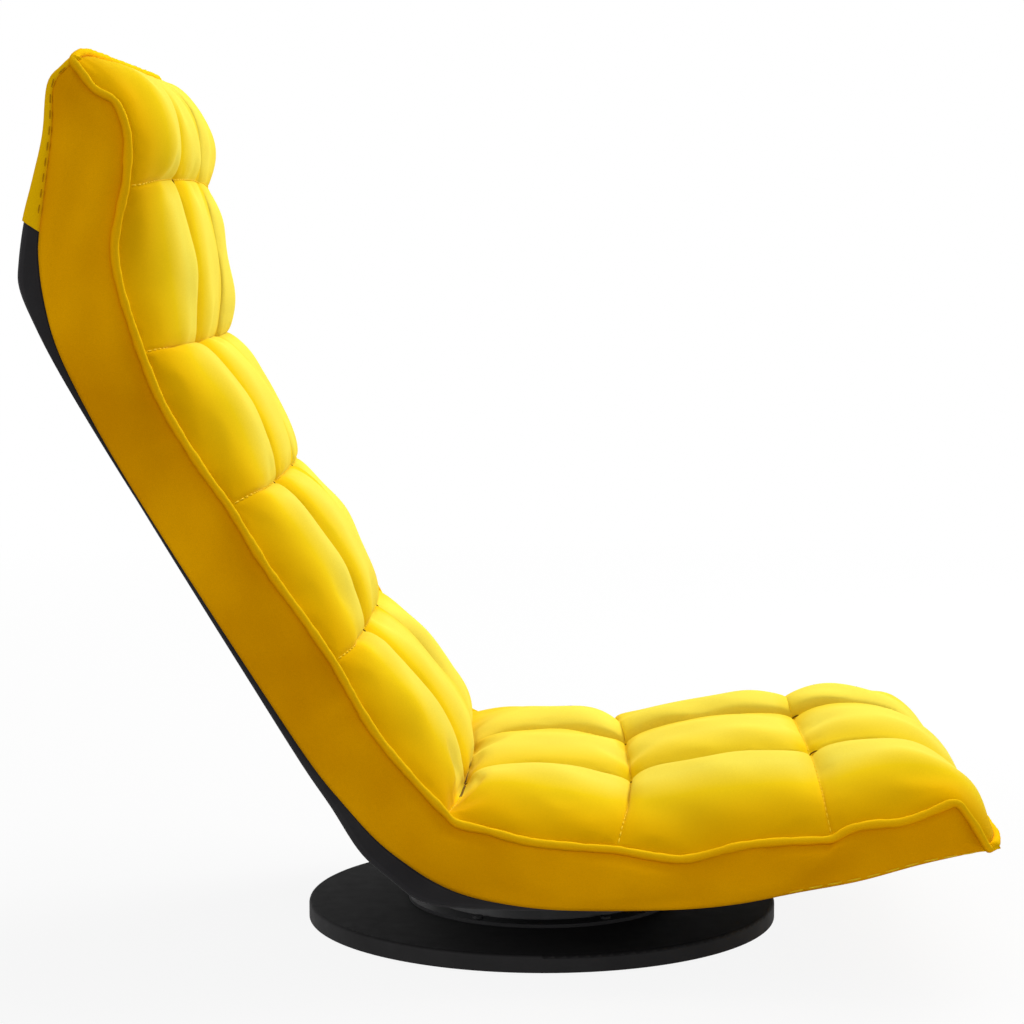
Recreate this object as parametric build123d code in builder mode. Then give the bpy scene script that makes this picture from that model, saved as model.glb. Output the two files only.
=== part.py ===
# Swivel floor chair: tufted seat and backrest, joined by ratchet hinges, on a round turning base.
from build123d import *
from math import cos, sin, tan, radians
import os

os.makedirs("parts", exist_ok=True)

# Chair width and covers
chair_width = 510.0
cover_wall = 1.5
piping_diameter = 6.5
soft_gap = 0.3
weld_gap = 0.05

# Round base and turning post
pad_diameter = 400.0
pad_thickness = 2.5
disc_diameter = 420.0
disc_thickness = 15.0
disc_edge_fillet = 3.0
pedestal_height = 34.5
pedestal_foot_diameter = 240.0
pedestal_base_diameter = 204.0
pedestal_top_diameter = 190.0
pedestal_wall = 3.0
pedestal_screw_count = 6

# Swivel bearing
lower_plate_side = 128.0
lower_plate_thickness = 2.5
upper_plate_thickness = 3.0
ball_diameter = 6.0
ball_count = 24
ball_clearance = 0.05
race_diameter = 90.0
race_width = 12.0
lower_race_height = 2.0
upper_race_height = 4.5
race_gap = 1.0
cage_thickness = 0.8
king_bolt_diameter = 12.0
king_head_diameter = 22.0
king_head_height = 4.0
king_head_gap = 0.1
king_nut_diameter = 20.0
king_nut_height = 6.0

# Screws and bolts
screw_diameter = 5.0
screw_head_diameter = 9.0
screw_head_height = 2.0
screw_bite = 10.0
bolt_diameter = 6.0
bolt_head_diameter = 12.0
bolt_head_height = 4.0
weld_nut_diameter = 10.0
weld_nut_height = 5.0
bolt_spacing_y = 200.0
bolt_edge_distance = 30.0
hole_clearance = 0.05

# Steel tube frame
tube_diameter = 20.0
tube_wall = 1.2
tube_seat = 0.5
tube_inset = 20.5
tube_corner_radius = 60.0
frame_end_inset = 26.0
cross_tube_spacing = 50.0
back_cross_tube_places = (150.0, 430.0)
web_width = 45.0
web_thickness = 2.0
web_gap = 0.1
seat_web_places = (75.0, 130.0, 185.0, 270.0, 325.0, 380.0)
back_web_places = (85.0, 215.0, 285.0, 355.0, 490.0, 650.0)

# Lean of the backrest above the seat
back_direction = 121.0

# Seat profile along its underside, from the hinge axis forward
seat_drop = 37.0
seat_straight = 188.0
seat_kick_angle = 12.3
seat_kick_radius = 300.0
seat_kick_run = 203.0
seat_foam_thickness = 20.0
seat_edge_height = 48.0
seat_valley_height = 73.0
seat_row_lengths = (110.0, 173.0)
seat_row_crests = ((51.0, 102.0), (89.0, 101.0))
seat_front_crest = (-12.4, 66.0)
seat_nose_overhang = 15.6
seat_nose_height = 6.0
seat_shoulder_setback = 17.4
front_flap_length = 118.0

# Backrest profile along its rear face, from the hinge axis up
back_drop = 46.0
back_straight = 525.0
head_angle = 40.0
head_bend_radius = 96.5
head_run = 141.0
back_foam_thickness = 34.0
back_edge_height = 62.0
back_valley_height = 74.0
back_row_lengths = (124.0, 151.0, 139.0, 201.0)
back_row_crests = ((53.0, 112.0), (75.0, 104.0), (68.0, 108.0), (53.0, 131.0))
back_head_crest = (14.6, 59.0)
back_nose_overhang = 27.6
back_nose_height = 25.0
back_shoulder_setback = 31.4
rear_cover_start = 35.0
rear_flange_height = 8.0

# Quilt columns
column_count = 3
seam_gap = 0.6
quilt_side_gap = 0.5
nose_row_fullness = 24.0

# Ratchet hinge
hinge_part_start = 57.0
sweep_clearance = 1.3
underside_wrap_angle = 35.0
wheel_diameter = 56.0
wheel_thickness = 4.0
tooth_depth = 3.5
tooth_pitch_angle = 15.0
recline_steps = (-2, -1, 0, 1, 2, 3, 4)
notch_half_width = 1.0
notch_flare = 0.32
hinge_side_gap = 0.3
cheek_thickness = 2.0
cheek_radius = 16.0
pivot_diameter = 10.0
pivot_head_diameter = 18.0
pivot_head_height = 2.0
spigot_clearance = 0.05
spigot_length = 38.0
tube_end_gap = 0.5
cross_tube_gap = 1.5
back_tube_start = 60.0
spigot_neck = 12.0
arm_root_half_width = 14.0
rivet_diameter = 4.0
rivet_head_diameter = 7.0
rivet_head_height = 1.5
rivet_setback = 5.0
pawl_pin_gap = 3.5
pawl_pin_diameter = 6.0
pawl_pin_head_diameter = 10.0
pawl_pin_head_height = 1.5
pawl_boss_radius = 6.0
pawl_nose_radius = 3.0
pawl_thickness = 2.6
pawl_angle = 40.0
pawl_tooth_clearance = 0.2
pawl_tip_clearance = 0.4
pawl_wheel_clearance = 0.5
pawl_offset = 0.8
spring_wire = 1.3
spring_turn_gap = 0.25
spring_leg_length = 12.0

# Sizes that follow from the ones above
half_width = chair_width / 2
piping_radius = piping_diameter / 2
piping_line = half_width - cover_wall - quilt_side_gap / 2
quilt_half = piping_line - piping_radius - quilt_side_gap
tube_radius = tube_diameter / 2
bore_radius = tube_radius - tube_wall
tube_line = half_width - tube_inset
tube_rise = cover_wall + tube_seat + tube_radius
web_rise = tube_rise + tube_radius + web_gap
foam_rise = web_rise + web_thickness + soft_gap
disc_top = pad_thickness + disc_thickness
pedestal_top = disc_top + pedestal_height
lower_plate_top = pedestal_top + lower_plate_thickness
lower_race_top = lower_plate_top + lower_race_height
ball_level = lower_race_top + race_gap / 2
upper_race_bottom = lower_race_top + race_gap
upper_plate_bottom = upper_race_bottom + upper_race_height
underside_level = upper_plate_bottom + upper_plate_thickness
hinge_level = underside_level + seat_drop
tube_level = underside_level + tube_rise
pawl_pin_distance = wheel_diameter / 2 + pawl_boss_radius + pawl_pin_gap
seat_tube_start = pawl_pin_distance + pawl_pin_head_diameter / 2 + cheek_thickness + tube_end_gap
bolt_reach = cross_tube_spacing / 2
cross_tube_start = seat_tube_start + rivet_setback + rivet_head_diameter / 2 + cross_tube_gap
hinge_setback = cross_tube_start + tube_radius + bolt_reach
hinge_point = Vector(-hinge_setback, 0, hinge_level)
pivot_radius = pivot_diameter / 2
wheel_radius = wheel_diameter / 2
root_radius = wheel_radius - tooth_depth
cheek_offset = wheel_thickness / 2 + hinge_side_gap + cheek_thickness / 2
cheek_outside = wheel_thickness / 2 + hinge_side_gap + cheek_thickness
spigot_radius = bore_radius - spigot_clearance
sides = {"left": 1, "right": -1}


class Panel:
    """One padded half of the chair: a straight run, a bend and an end run, measured from the hinge axis."""

    def __init__(self, direction, rise_sign, drop, straight, bend_angle, bend_radius, end_run):
        self.direction = Vector(cos(radians(direction)), 0, sin(radians(direction)))
        self.outward = Vector(-rise_sign * self.direction.Z, 0, rise_sign * self.direction.X)
        self.side_normal = self.direction.cross(self.outward)
        self.drop = drop
        self.straight = straight
        self.bend_angle = radians(bend_angle)
        self.bend_radius = bend_radius
        self.bend_end = straight + self.bend_angle * bend_radius
        self.end = self.bend_end + end_run

    def point(self, along, rise):
        """Profile point at a distance along the outer face and a height above that face."""
        turn = min(max(along - self.straight, 0) / self.bend_radius, self.bend_angle)
        lever = self.bend_radius - rise
        past = max(along - self.bend_end, 0)
        before = min(along, self.straight)
        across = before + lever * sin(turn) + past * cos(turn)
        up = self.bend_radius - self.drop - lever * cos(turn) + past * sin(turn)
        return (across, up)

    def corner(self, rise):
        """Profile point where the two straight runs of one layer would meet."""
        return (self.straight + (self.bend_radius - rise) * tan(self.bend_angle / 2), rise - self.drop)

    def place(self, point, y):
        """Chair position of a profile point at one distance across the chair."""
        spot = hinge_point + self.direction * point[0] + self.outward * point[1]
        return Vector(spot.X, y, spot.Z)

    def plane(self, y=0.0):
        """Sketch plane of the profile at one distance across the chair."""
        origin = Vector(hinge_point.X, y, hinge_point.Z)
        return Plane(origin=origin, x_dir=self.direction, z_dir=self.side_normal)

    def section(self, point, y=0.0):
        """Sketch plane square to the straight run, for a tube that runs along it."""
        return Plane(origin=self.place(point, y), x_dir=(0, 1, 0), z_dir=self.direction)


seat = Panel(0.0, 1, seat_drop, seat_straight, seat_kick_angle, seat_kick_radius, seat_kick_run)
back = Panel(
    back_direction, -1, back_drop, back_straight, head_angle, head_bend_radius, head_run
)


def finish(piece, label):
    """Name a finished piece and write it."""
    piece.part.label = label
    export_step(piece.part, f"parts/{label}.step")


def polar(radius, angle):
    """Profile point at a distance and a direction from the hinge axis."""
    return (radius * cos(radians(angle)), radius * sin(radians(angle)))


def trace(panel, start, end, rise):
    """Draw one layer line of a profile, with an arc where it runs round the bend."""
    inner = [stop for stop in (panel.straight, panel.bend_end) if start < stop < end]
    stops = [start] + inner + [end]
    for first, last in zip(stops, stops[1:]):
        if first >= panel.straight and last <= panel.bend_end:
            middle = panel.point((first + last) / 2, rise)
            ThreePointArc(panel.point(first, rise), middle, panel.point(last, rise))
        else:
            Line(panel.point(first, rise), panel.point(last, rise))


def draw_band(panel, start, end, low, high):
    """Draw the closed outline of one layer of a profile."""
    trace(panel, start, end, low)
    Line(panel.point(end, low), panel.point(end, high))
    trace(panel, start, end, high)
    Line(panel.point(start, high), panel.point(start, low))


def layer(panel, start, end, low, high, half):
    """Make one flat layer of a padded half, across the chair from side to side."""
    with BuildPart() as sheet:
        with BuildSketch(panel.plane()):
            with BuildLine():
                draw_band(panel, start, end, low, high)
            make_face()
        extrude(amount=half, both=True)
    return sheet


# Floor pad
with BuildPart() as floor_pad:
    with BuildSketch():
        Circle(pad_diameter / 2)
    extrude(amount=pad_thickness)
finish(floor_pad, "floor_pad")

# Round base board, drilled for the pedestal screws
pedestal_screw_circle = (pedestal_foot_diameter + pedestal_base_diameter) / 4
with BuildPart() as base_disc:
    with BuildSketch(Plane.XY.offset(pad_thickness)):
        Circle(disc_diameter / 2)
    extrude(amount=disc_thickness)
    fillet(base_disc.edges().group_by(Axis.Z)[-1], disc_edge_fillet)
    with BuildSketch(Plane.XY.offset(disc_top)):
        with PolarLocations(pedestal_screw_circle, pedestal_screw_count):
            Circle(screw_diameter / 2 + hole_clearance)
    extrude(amount=-screw_bite, mode=Mode.SUBTRACT)
finish(base_disc, "base_disc")

# Hollow pedestal with a screw flange at its foot
plate_screw_reach = (race_diameter + race_width + lower_plate_side) / 4 - screw_diameter
plate_screw_places = [(plate_screw_reach * a, plate_screw_reach * b) for a in (1, -1) for b in (1, -1)]
with BuildPart() as swivel_pedestal:
    with BuildSketch(Plane.XZ):
        with BuildLine():
            Polyline(
                (0, pedestal_top),
                (pedestal_top_diameter / 2, pedestal_top),
                (pedestal_base_diameter / 2, disc_top + pedestal_wall),
                (pedestal_foot_diameter / 2, disc_top + pedestal_wall),
                (pedestal_foot_diameter / 2, disc_top),
                (pedestal_base_diameter / 2 - pedestal_wall, disc_top),
                (pedestal_top_diameter / 2 - pedestal_wall, pedestal_top - pedestal_wall),
                (0, pedestal_top - pedestal_wall),
                close=True,
            )
        make_face()
    revolve(axis=Axis.Z)
    with BuildSketch(Plane.XY.offset(disc_top)):
        with PolarLocations(pedestal_screw_circle, pedestal_screw_count):
            Circle(screw_diameter / 2 + hole_clearance)
    extrude(amount=pedestal_wall, mode=Mode.SUBTRACT)
    with BuildSketch(Plane.XY.offset(pedestal_top)):
        Circle(king_bolt_diameter / 2 + hole_clearance)
        with Locations(*plate_screw_places):
            Circle(screw_diameter / 2 + hole_clearance)
    extrude(amount=-pedestal_wall, mode=Mode.SUBTRACT)
finish(swivel_pedestal, "swivel_pedestal")

# Screws that hold the pedestal to the board
with BuildPart() as pedestal_screws:
    with BuildSketch(Plane.XY.offset(disc_top + pedestal_wall)):
        with PolarLocations(pedestal_screw_circle, pedestal_screw_count):
            Circle(screw_head_diameter / 2)
    extrude(amount=screw_head_height)
    with BuildSketch(Plane.XY.offset(disc_top + pedestal_wall)):
        with PolarLocations(pedestal_screw_circle, pedestal_screw_count):
            Circle(screw_diameter / 2)
    extrude(amount=-pedestal_wall - screw_bite)
finish(pedestal_screws, "pedestal_screws")


def cut_race(level):
    """Cut the round ball groove of a race in the open part."""
    with BuildSketch(Plane.XZ) as groove:
        with Locations((race_diameter / 2, level)):
            Circle(ball_diameter / 2 + ball_clearance)
    revolve(groove.sketch, axis=Axis.Z, mode=Mode.SUBTRACT)


# Lower bearing plate
with BuildPart() as swivel_lower_plate:
    with BuildSketch(Plane.XY.offset(pedestal_top)):
        Rectangle(lower_plate_side, lower_plate_side)
    extrude(amount=lower_plate_thickness)
    with BuildSketch(Plane.XY.offset(lower_plate_top)):
        Circle((race_diameter + race_width) / 2)
        Circle((race_diameter - race_width) / 2, mode=Mode.SUBTRACT)
    extrude(amount=lower_race_height)
    cut_race(ball_level)
    with BuildSketch(Plane.XY.offset(pedestal_top)):
        Circle(king_bolt_diameter / 2 + hole_clearance)
        with Locations(*plate_screw_places):
            Circle(screw_diameter / 2 + hole_clearance)
    extrude(amount=lower_plate_thickness, mode=Mode.SUBTRACT)
finish(swivel_lower_plate, "swivel_lower_plate")

# Screws that hold the lower plate to the pedestal
with BuildPart() as lower_plate_screws:
    with BuildSketch(Plane.XY.offset(lower_plate_top)):
        with Locations(*plate_screw_places):
            Circle(screw_head_diameter / 2)
    extrude(amount=screw_head_height)
    with BuildSketch(Plane.XY.offset(lower_plate_top)):
        with Locations(*plate_screw_places):
            Circle(screw_diameter / 2)
    extrude(amount=-lower_plate_thickness - pedestal_wall - screw_bite / 2)
finish(lower_plate_screws, "lower_plate_screws")

# Ball cage
with BuildPart() as swivel_ball_cage:
    with BuildSketch(Plane.XY.offset(ball_level)):
        Circle((race_diameter + race_width) / 2)
        Circle((race_diameter - race_width) / 2, mode=Mode.SUBTRACT)
        with PolarLocations(race_diameter / 2, ball_count):
            Circle(ball_diameter / 2 + ball_clearance, mode=Mode.SUBTRACT)
    extrude(amount=cage_thickness / 2, both=True)
finish(swivel_ball_cage, "swivel_ball_cage")

# Bearing balls
with BuildPart() as swivel_balls:
    ring = PolarLocations(race_diameter / 2, ball_count)
    with Locations(*[Location((spot.position.X, spot.position.Y, ball_level)) for spot in ring]):
        Sphere(ball_diameter / 2)
finish(swivel_balls, "swivel_balls")

# Upper bearing plate, bolted under the seat's cross tubes
bolt_places = [(bolt_reach * a, bolt_spacing_y / 2 * b) for a in (1, -1) for b in (1, -1)]
with BuildPart() as swivel_upper_plate:
    with BuildSketch(Plane.XY.offset(upper_plate_bottom)):
        Rectangle(cross_tube_spacing + 2 * bolt_edge_distance, bolt_spacing_y + 2 * bolt_edge_distance)
    extrude(amount=upper_plate_thickness)
    with BuildSketch(Plane.XY.offset(upper_race_bottom)):
        Circle((race_diameter + race_width) / 2)
        Circle((race_diameter - race_width) / 2, mode=Mode.SUBTRACT)
    extrude(amount=upper_race_height)
    cut_race(ball_level)
    with BuildSketch(Plane.XY.offset(upper_plate_bottom)):
        Circle(king_bolt_diameter / 2 + hole_clearance)
        with Locations(*bolt_places):
            Circle(bolt_diameter / 2 + hole_clearance)
    extrude(amount=upper_plate_thickness, mode=Mode.SUBTRACT)
finish(swivel_upper_plate, "swivel_upper_plate")

# King bolt that keeps the swivel together, and its nut
king_head_level = underside_level + king_head_gap
king_nut_top = pedestal_top - pedestal_wall
with BuildPart() as king_bolt:
    with BuildSketch(Plane.XY.offset(king_head_level)):
        Circle(king_head_diameter / 2)
    extrude(amount=king_head_height)
    with BuildSketch(Plane.XY.offset(king_head_level)):
        Circle(king_bolt_diameter / 2)
    extrude(amount=king_nut_top - king_nut_height - king_head_level)
finish(king_bolt, "king_bolt")

with BuildPart() as king_nut:
    with BuildSketch(Plane.XY.offset(king_nut_top)):
        RegularPolygon(king_nut_diameter / 2, 6)
        Circle(king_bolt_diameter / 2 + hole_clearance, mode=Mode.SUBTRACT)
    extrude(amount=-king_nut_height)
finish(king_nut, "king_nut")

# Bolts from the upper plate into the cross tubes, and the nuts welded inside those tubes
nut_sag = (bore_radius**2 - (weld_nut_diameter / 2) ** 2) ** 0.5
weld_nut_bottom = tube_level - nut_sag + weld_gap
with BuildPart() as mount_bolts:
    with BuildSketch(Plane.XY.offset(upper_plate_bottom)):
        with Locations(*bolt_places):
            Circle(bolt_head_diameter / 2)
    extrude(amount=-bolt_head_height)
    with BuildSketch(Plane.XY.offset(upper_plate_bottom)):
        with Locations(*bolt_places):
            Circle(bolt_diameter / 2)
    extrude(amount=weld_nut_bottom + weld_nut_height - upper_plate_bottom)
finish(mount_bolts, "mount_bolts")

with BuildPart() as weld_nuts:
    with BuildSketch(Plane.XY.offset(weld_nut_bottom)):
        with Locations(*bolt_places):
            Circle(weld_nut_diameter / 2)
            Circle(bolt_diameter / 2 + hole_clearance, mode=Mode.SUBTRACT)
    extrude(amount=weld_nut_height)
finish(weld_nuts, "weld_nuts")


def bent_frame(panel, start, rivet_along):
    """Make the tube of one half: up one side, across the end and down the other side."""
    reach = panel.end - frame_end_inset
    side_points = [panel.point(start, tube_rise), panel.corner(tube_rise), panel.point(reach, tube_rise)]
    route = [panel.place(spot, tube_line) for spot in side_points]
    route += [panel.place(spot, -tube_line) for spot in reversed(side_points)]
    bend = panel.bend_radius - tube_rise
    with BuildPart() as tube:
        with BuildLine() as path:
            FilletPolyline(*route, radius=[bend, tube_corner_radius, tube_corner_radius, bend])
        with BuildSketch(panel.section(side_points[0], tube_line)):
            Circle(tube_radius)
            Circle(bore_radius, mode=Mode.SUBTRACT)
        sweep(path=path.wire())
        with BuildSketch(panel.plane()):
            with Locations(panel.point(rivet_along, tube_rise)):
                Circle(rivet_diameter / 2 + hole_clearance)
        extrude(amount=half_width, both=True, mode=Mode.SUBTRACT)
    return tube


seat_rivet_along = seat_tube_start + rivet_setback
back_rivet_along = back_tube_start + rivet_setback
seat_frame = bent_frame(seat, seat_tube_start, seat_rivet_along)
finish(seat_frame, "seat_frame")
back_frame = bent_frame(back, back_tube_start, back_rivet_along)
finish(back_frame, "back_frame")


def cross_tubes(panel, places):
    """Make tubes across one half, with their ends cut to sit on the side tubes."""
    with BuildPart() as tubes:
        with BuildSketch(panel.plane()):
            with Locations(*[panel.point(along, tube_rise) for along in places]):
                Circle(tube_radius)
                Circle(bore_radius, mode=Mode.SUBTRACT)
        extrude(amount=tube_line, both=True)
        for side in sides.values():
            with BuildSketch(panel.section(panel.point(0, tube_rise), side * tube_line)):
                Circle(tube_radius + weld_gap)
            extrude(amount=panel.end, mode=Mode.SUBTRACT)
    return tubes


with BuildPart() as seat_cross_tubes:
    add(cross_tubes(seat, (hinge_setback - bolt_reach, hinge_setback + bolt_reach)).part)
    with BuildSketch(Plane.XY.offset(underside_level)):
        with Locations(*bolt_places):
            Circle(bolt_diameter / 2 + hole_clearance)
    extrude(amount=tube_rise, mode=Mode.SUBTRACT)
finish(seat_cross_tubes, "seat_cross_tubes")

back_cross_tubes = cross_tubes(back, back_cross_tube_places)
finish(back_cross_tubes, "back_cross_tubes")


def webbing(panel, places):
    """Make the stretch straps that lie across the side tubes of one half."""
    with BuildPart() as straps:
        for place in places:
            with BuildSketch(panel.plane()):
                with BuildLine():
                    ends = (place - web_width / 2, place + web_width / 2)
                    draw_band(panel, *ends, web_rise, web_rise + web_thickness)
                make_face()
            extrude(amount=tube_line + tube_radius / 2, both=True)
    return straps


seat_webbing = webbing(seat, seat_web_places)
finish(seat_webbing, "seat_webbing")
back_webbing = webbing(back, back_web_places)
finish(back_webbing, "back_webbing")

# Foam slabs
seat_foam_top = foam_rise + seat_foam_thickness
back_foam_top = foam_rise + back_foam_thickness
seat_foam = layer(seat, hinge_part_start, seat.end, foam_rise, seat_foam_top, quilt_half)
finish(seat_foam, "seat_foam")
back_foam = layer(back, hinge_part_start, back.end, foam_rise, back_foam_top, quilt_half)
finish(back_foam, "back_foam")


def piping_route(panel, edge, shoulder, nose):
    """List the corners of the welt: along one side, round the padded end and back along the other side."""
    side_points = [
        panel.point(hinge_part_start, edge),
        panel.corner(edge),
        panel.point(shoulder, edge),
        panel.point(*nose),
    ]
    route = [panel.place(spot, piping_line) for spot in side_points]
    return route + [panel.place(spot, -piping_line) for spot in reversed(side_points)]


def piping(panel, edge, shoulder, nose, radius):
    """Make the round welt cord of one half."""
    bend = panel.bend_radius - edge
    turn = tube_corner_radius / 3
    with BuildPart() as cord:
        with BuildLine() as path:
            route = piping_route(panel, edge, shoulder, nose)
            FilletPolyline(*route, radius=[bend, turn, turn, turn, turn, bend])
        with BuildSketch(panel.section(panel.point(hinge_part_start, edge), piping_line)):
            Circle(radius)
        sweep(path=path.wire())
    return cord


seat_nose = (seat.end + seat_nose_overhang, seat_nose_height)
back_nose = (back.end + back_nose_overhang, back_nose_height)
seat_welt = (seat, seat_edge_height, seat.end - seat_shoulder_setback, seat_nose)
back_welt = (back, back_edge_height, back.end - back_shoulder_setback, back_nose)
seat_piping = piping(*seat_welt, piping_radius)
finish(seat_piping, "seat_piping")
back_piping = piping(*back_welt, piping_radius)
finish(back_piping, "back_piping")
seat_groove = piping(*seat_welt, piping_radius + weld_gap)
back_groove = piping(*back_welt, piping_radius + weld_gap)


def draw_pillow(panel, base, valley, start, end, crest, nose):
    """Draw the side profile of one quilt row; the end row curls over the foam to the welt."""
    trace(panel, start, end, base)
    Line(panel.point(start, base), panel.point(start, valley))
    if nose is None:
        ThreePointArc(panel.point(start, valley), panel.point(*crest), panel.point(end, valley))
        Line(panel.point(end, valley), panel.point(end, base))
    else:
        heel = panel.point(end, cover_wall + soft_gap)
        ThreePointArc(panel.point(start, valley), panel.point(*crest), panel.point(*nose))
        Line(panel.point(*nose), heel)
        Line(heel, panel.point(end, base))


def pillow(panel, base, edge, valley, start, end, crest, nose, column, groove):
    """Make one tufted pillow: a crowned profile cut to a crowned section across its column."""
    column_width = 2 * quilt_half / column_count
    low_y = -quilt_half + column * column_width
    high_y = low_y + column_width
    low_y += 0 if column == 0 else seam_gap / 2
    high_y -= 0 if column == column_count - 1 else seam_gap / 2
    middle_y = (low_y + high_y) / 2
    first = panel.place(panel.point(start, base), middle_y)
    last = panel.place(panel.point(end, base), middle_y)
    chord = (last - first).normalized()
    normal = panel.side_normal.cross(chord)
    section = Plane(origin=(first + last) * 0.5, x_dir=(0, 1, 0), z_dir=Vector(0, 1, 0).cross(normal))
    if nose is None:
        top = panel.place(panel.point(*crest), middle_y)
        height = (top - section.origin).dot(normal)
    else:
        height = crest[1] - base + nose_row_fullness
    edge_heights = [edge - base if column == 0 else valley - base]
    edge_heights += [edge - base if column == column_count - 1 else valley - base]
    half_span = (high_y - low_y) / 2
    with BuildPart() as soft:
        with BuildSketch(panel.plane(middle_y)):
            with BuildLine():
                draw_pillow(panel, base, valley, start, end, crest, nose)
            make_face()
        extrude(amount=half_span, both=True)
        with BuildSketch(section):
            with BuildLine():
                low_left = (-half_span, -panel.end)
                low_right = (half_span, -panel.end)
                rise_left = (-half_span, edge_heights[0])
                rise_right = (half_span, edge_heights[1])
                Polyline(rise_left, low_left, low_right, rise_right)
                ThreePointArc(rise_left, (0, height), rise_right)
            make_face()
        extrude(amount=panel.end, both=True, mode=Mode.INTERSECT)
        if nose is not None:
            add(groove.part, mode=Mode.SUBTRACT)
    return soft


def quilt_rows(name, panel, heights, lengths, row_crests, end_crest, nose, groove):
    """Make every quilt row of one half, a node for each row and a pillow for each column."""
    foam_top, edge, valley = heights
    base = foam_top + soft_gap
    seams = [hinge_part_start + sum(lengths[:count]) for count in range(1, len(lengths) + 1)]
    starts = [hinge_part_start] + [seam + seam_gap / 2 for seam in seams]
    ends = [seam - seam_gap / 2 for seam in seams] + [panel.end + soft_gap]
    crests = [(start + crest[0], crest[1]) for start, crest in zip(starts, row_crests)]
    crests.append((panel.end + end_crest[0], end_crest[1]))
    for number, (start, end, crest) in enumerate(zip(starts, ends, crests), 1):
        row_nose = nose if number == len(crests) else None
        with BuildPart() as row:
            for column in range(column_count):
                soft = pillow(
                    panel, base, edge, valley, start, end, crest, row_nose, column, groove
                )
                add(soft.part)
        finish(row, f"{name}_pillows_row_{number}")


seat_heights = (seat_foam_top, seat_edge_height, seat_valley_height)
seat_rows = (seat_row_lengths, seat_row_crests, seat_front_crest)
quilt_rows("seat", seat, seat_heights, *seat_rows, seat_nose, seat_groove)
back_heights = (back_foam_top, back_edge_height, back_valley_height)
back_rows = (back_row_lengths, back_row_crests, back_head_crest)
quilt_rows("back", back, back_heights, *back_rows, back_nose, back_groove)


def side_panel(panel, side, start, low, edge, shoulder, nose, groove, hub_radius, hub_mode):
    """Make the flat boxing on one side of one half, cut away under the welt."""
    with BuildPart() as boxing:
        with BuildSketch(panel.plane(side * (half_width - cover_wall / 2))):
            with BuildLine():
                trace(panel, start, panel.end, low)
                Line(panel.point(panel.end, low), panel.point(*nose))
                Line(panel.point(*nose), panel.point(shoulder, edge))
                trace(panel, start, shoulder, edge)
                Line(panel.point(start, edge), panel.point(start, low))
            make_face()
            Circle(hub_radius, mode=hub_mode)
        extrude(amount=cover_wall / 2, both=True)
        add(groove.part, mode=Mode.SUBTRACT)
    return boxing


hub_radius = seat_drop - cover_wall
sweep_radius = seat_drop + sweep_clearance
for side_name, side in sides.items():
    seat_panel = side_panel(
        seat, side, 0.0, cover_wall, *seat_welt[1:], seat_groove, hub_radius, Mode.ADD
    )
    finish(seat_panel, f"{side_name}_seat_side_panel")
    back_panel = side_panel(
        back, side, back_drop / 2, rear_flange_height, *back_welt[1:], back_groove,
        sweep_radius, Mode.SUBTRACT,
    )
    finish(back_panel, f"{side_name}_back_side_panel")

# Black underside cover, which curls up round the hinge axis at its rear edge
front_flap_start = seat.end - front_flap_length
with BuildPart() as seat_underside_cover:
    with BuildSketch(seat.plane()):
        with BuildLine():
            outer_lip = polar(seat_drop, 270 - underside_wrap_angle)
            inner_lip = polar(hub_radius, 270 - underside_wrap_angle)
            outer_middle = polar(seat_drop, 270 - underside_wrap_angle / 2)
            inner_middle = polar(hub_radius, 270 - underside_wrap_angle / 2)
            trace(seat, 0.0, front_flap_start, 0.0)
            Line(seat.point(front_flap_start, 0.0), seat.point(front_flap_start, cover_wall))
            trace(seat, 0.0, front_flap_start, cover_wall)
            ThreePointArc(seat.point(0.0, cover_wall), inner_middle, inner_lip)
            Line(inner_lip, outer_lip)
            ThreePointArc(outer_lip, outer_middle, seat.point(0.0, 0.0))
        make_face()
    extrude(amount=half_width, both=True)
    with BuildSketch(Plane.XY.offset(underside_level)):
        Circle(king_head_diameter / 2 + king_head_height)
        with Locations(*bolt_places):
            Circle(bolt_diameter / 2 + hole_clearance)
    extrude(amount=cover_wall, mode=Mode.SUBTRACT)
finish(seat_underside_cover, "seat_underside_cover")

front_flap = layer(seat, front_flap_start, seat.end, 0.0, cover_wall, half_width)
finish(front_flap, "front_flap")

head_flap_start = back.bend_end

# Black rear cover with narrow side flanges, and the padded colour's flap over the head
with BuildPart() as back_rear_cover:
    add(layer(back, rear_cover_start, head_flap_start, 0.0, cover_wall, half_width).part)
    for side in sides.values():
        with BuildSketch(back.plane(side * (half_width - cover_wall / 2))):
            with BuildLine():
                draw_band(back, rear_cover_start, head_flap_start, cover_wall, rear_flange_height)
            make_face()
        extrude(amount=cover_wall / 2, both=True)
finish(back_rear_cover, "back_rear_cover")

with BuildPart() as head_flap:
    add(layer(back, head_flap_start, back.end, 0.0, cover_wall, half_width).part)
    for side in sides.values():
        with BuildSketch(back.plane(side * (half_width - cover_wall / 2))):
            with BuildLine():
                draw_band(back, head_flap_start, back.end, cover_wall, rear_flange_height)
            make_face()
        extrude(amount=cover_wall / 2, both=True)
finish(head_flap, "head_flap")


def along_plane(panel, along, y):
    """Sketch plane square to the tube axis of one half, for its spigot."""
    return panel.section(panel.point(along, tube_rise), y)


def spigot(panel, tube_start, y):
    """Add the round plug that slides into the end of a side tube."""
    with BuildSketch(along_plane(panel, tube_start - spigot_neck, y)) as end:
        Circle(spigot_radius)
    extrude(end.sketch, amount=spigot_neck + spigot_length)


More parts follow.
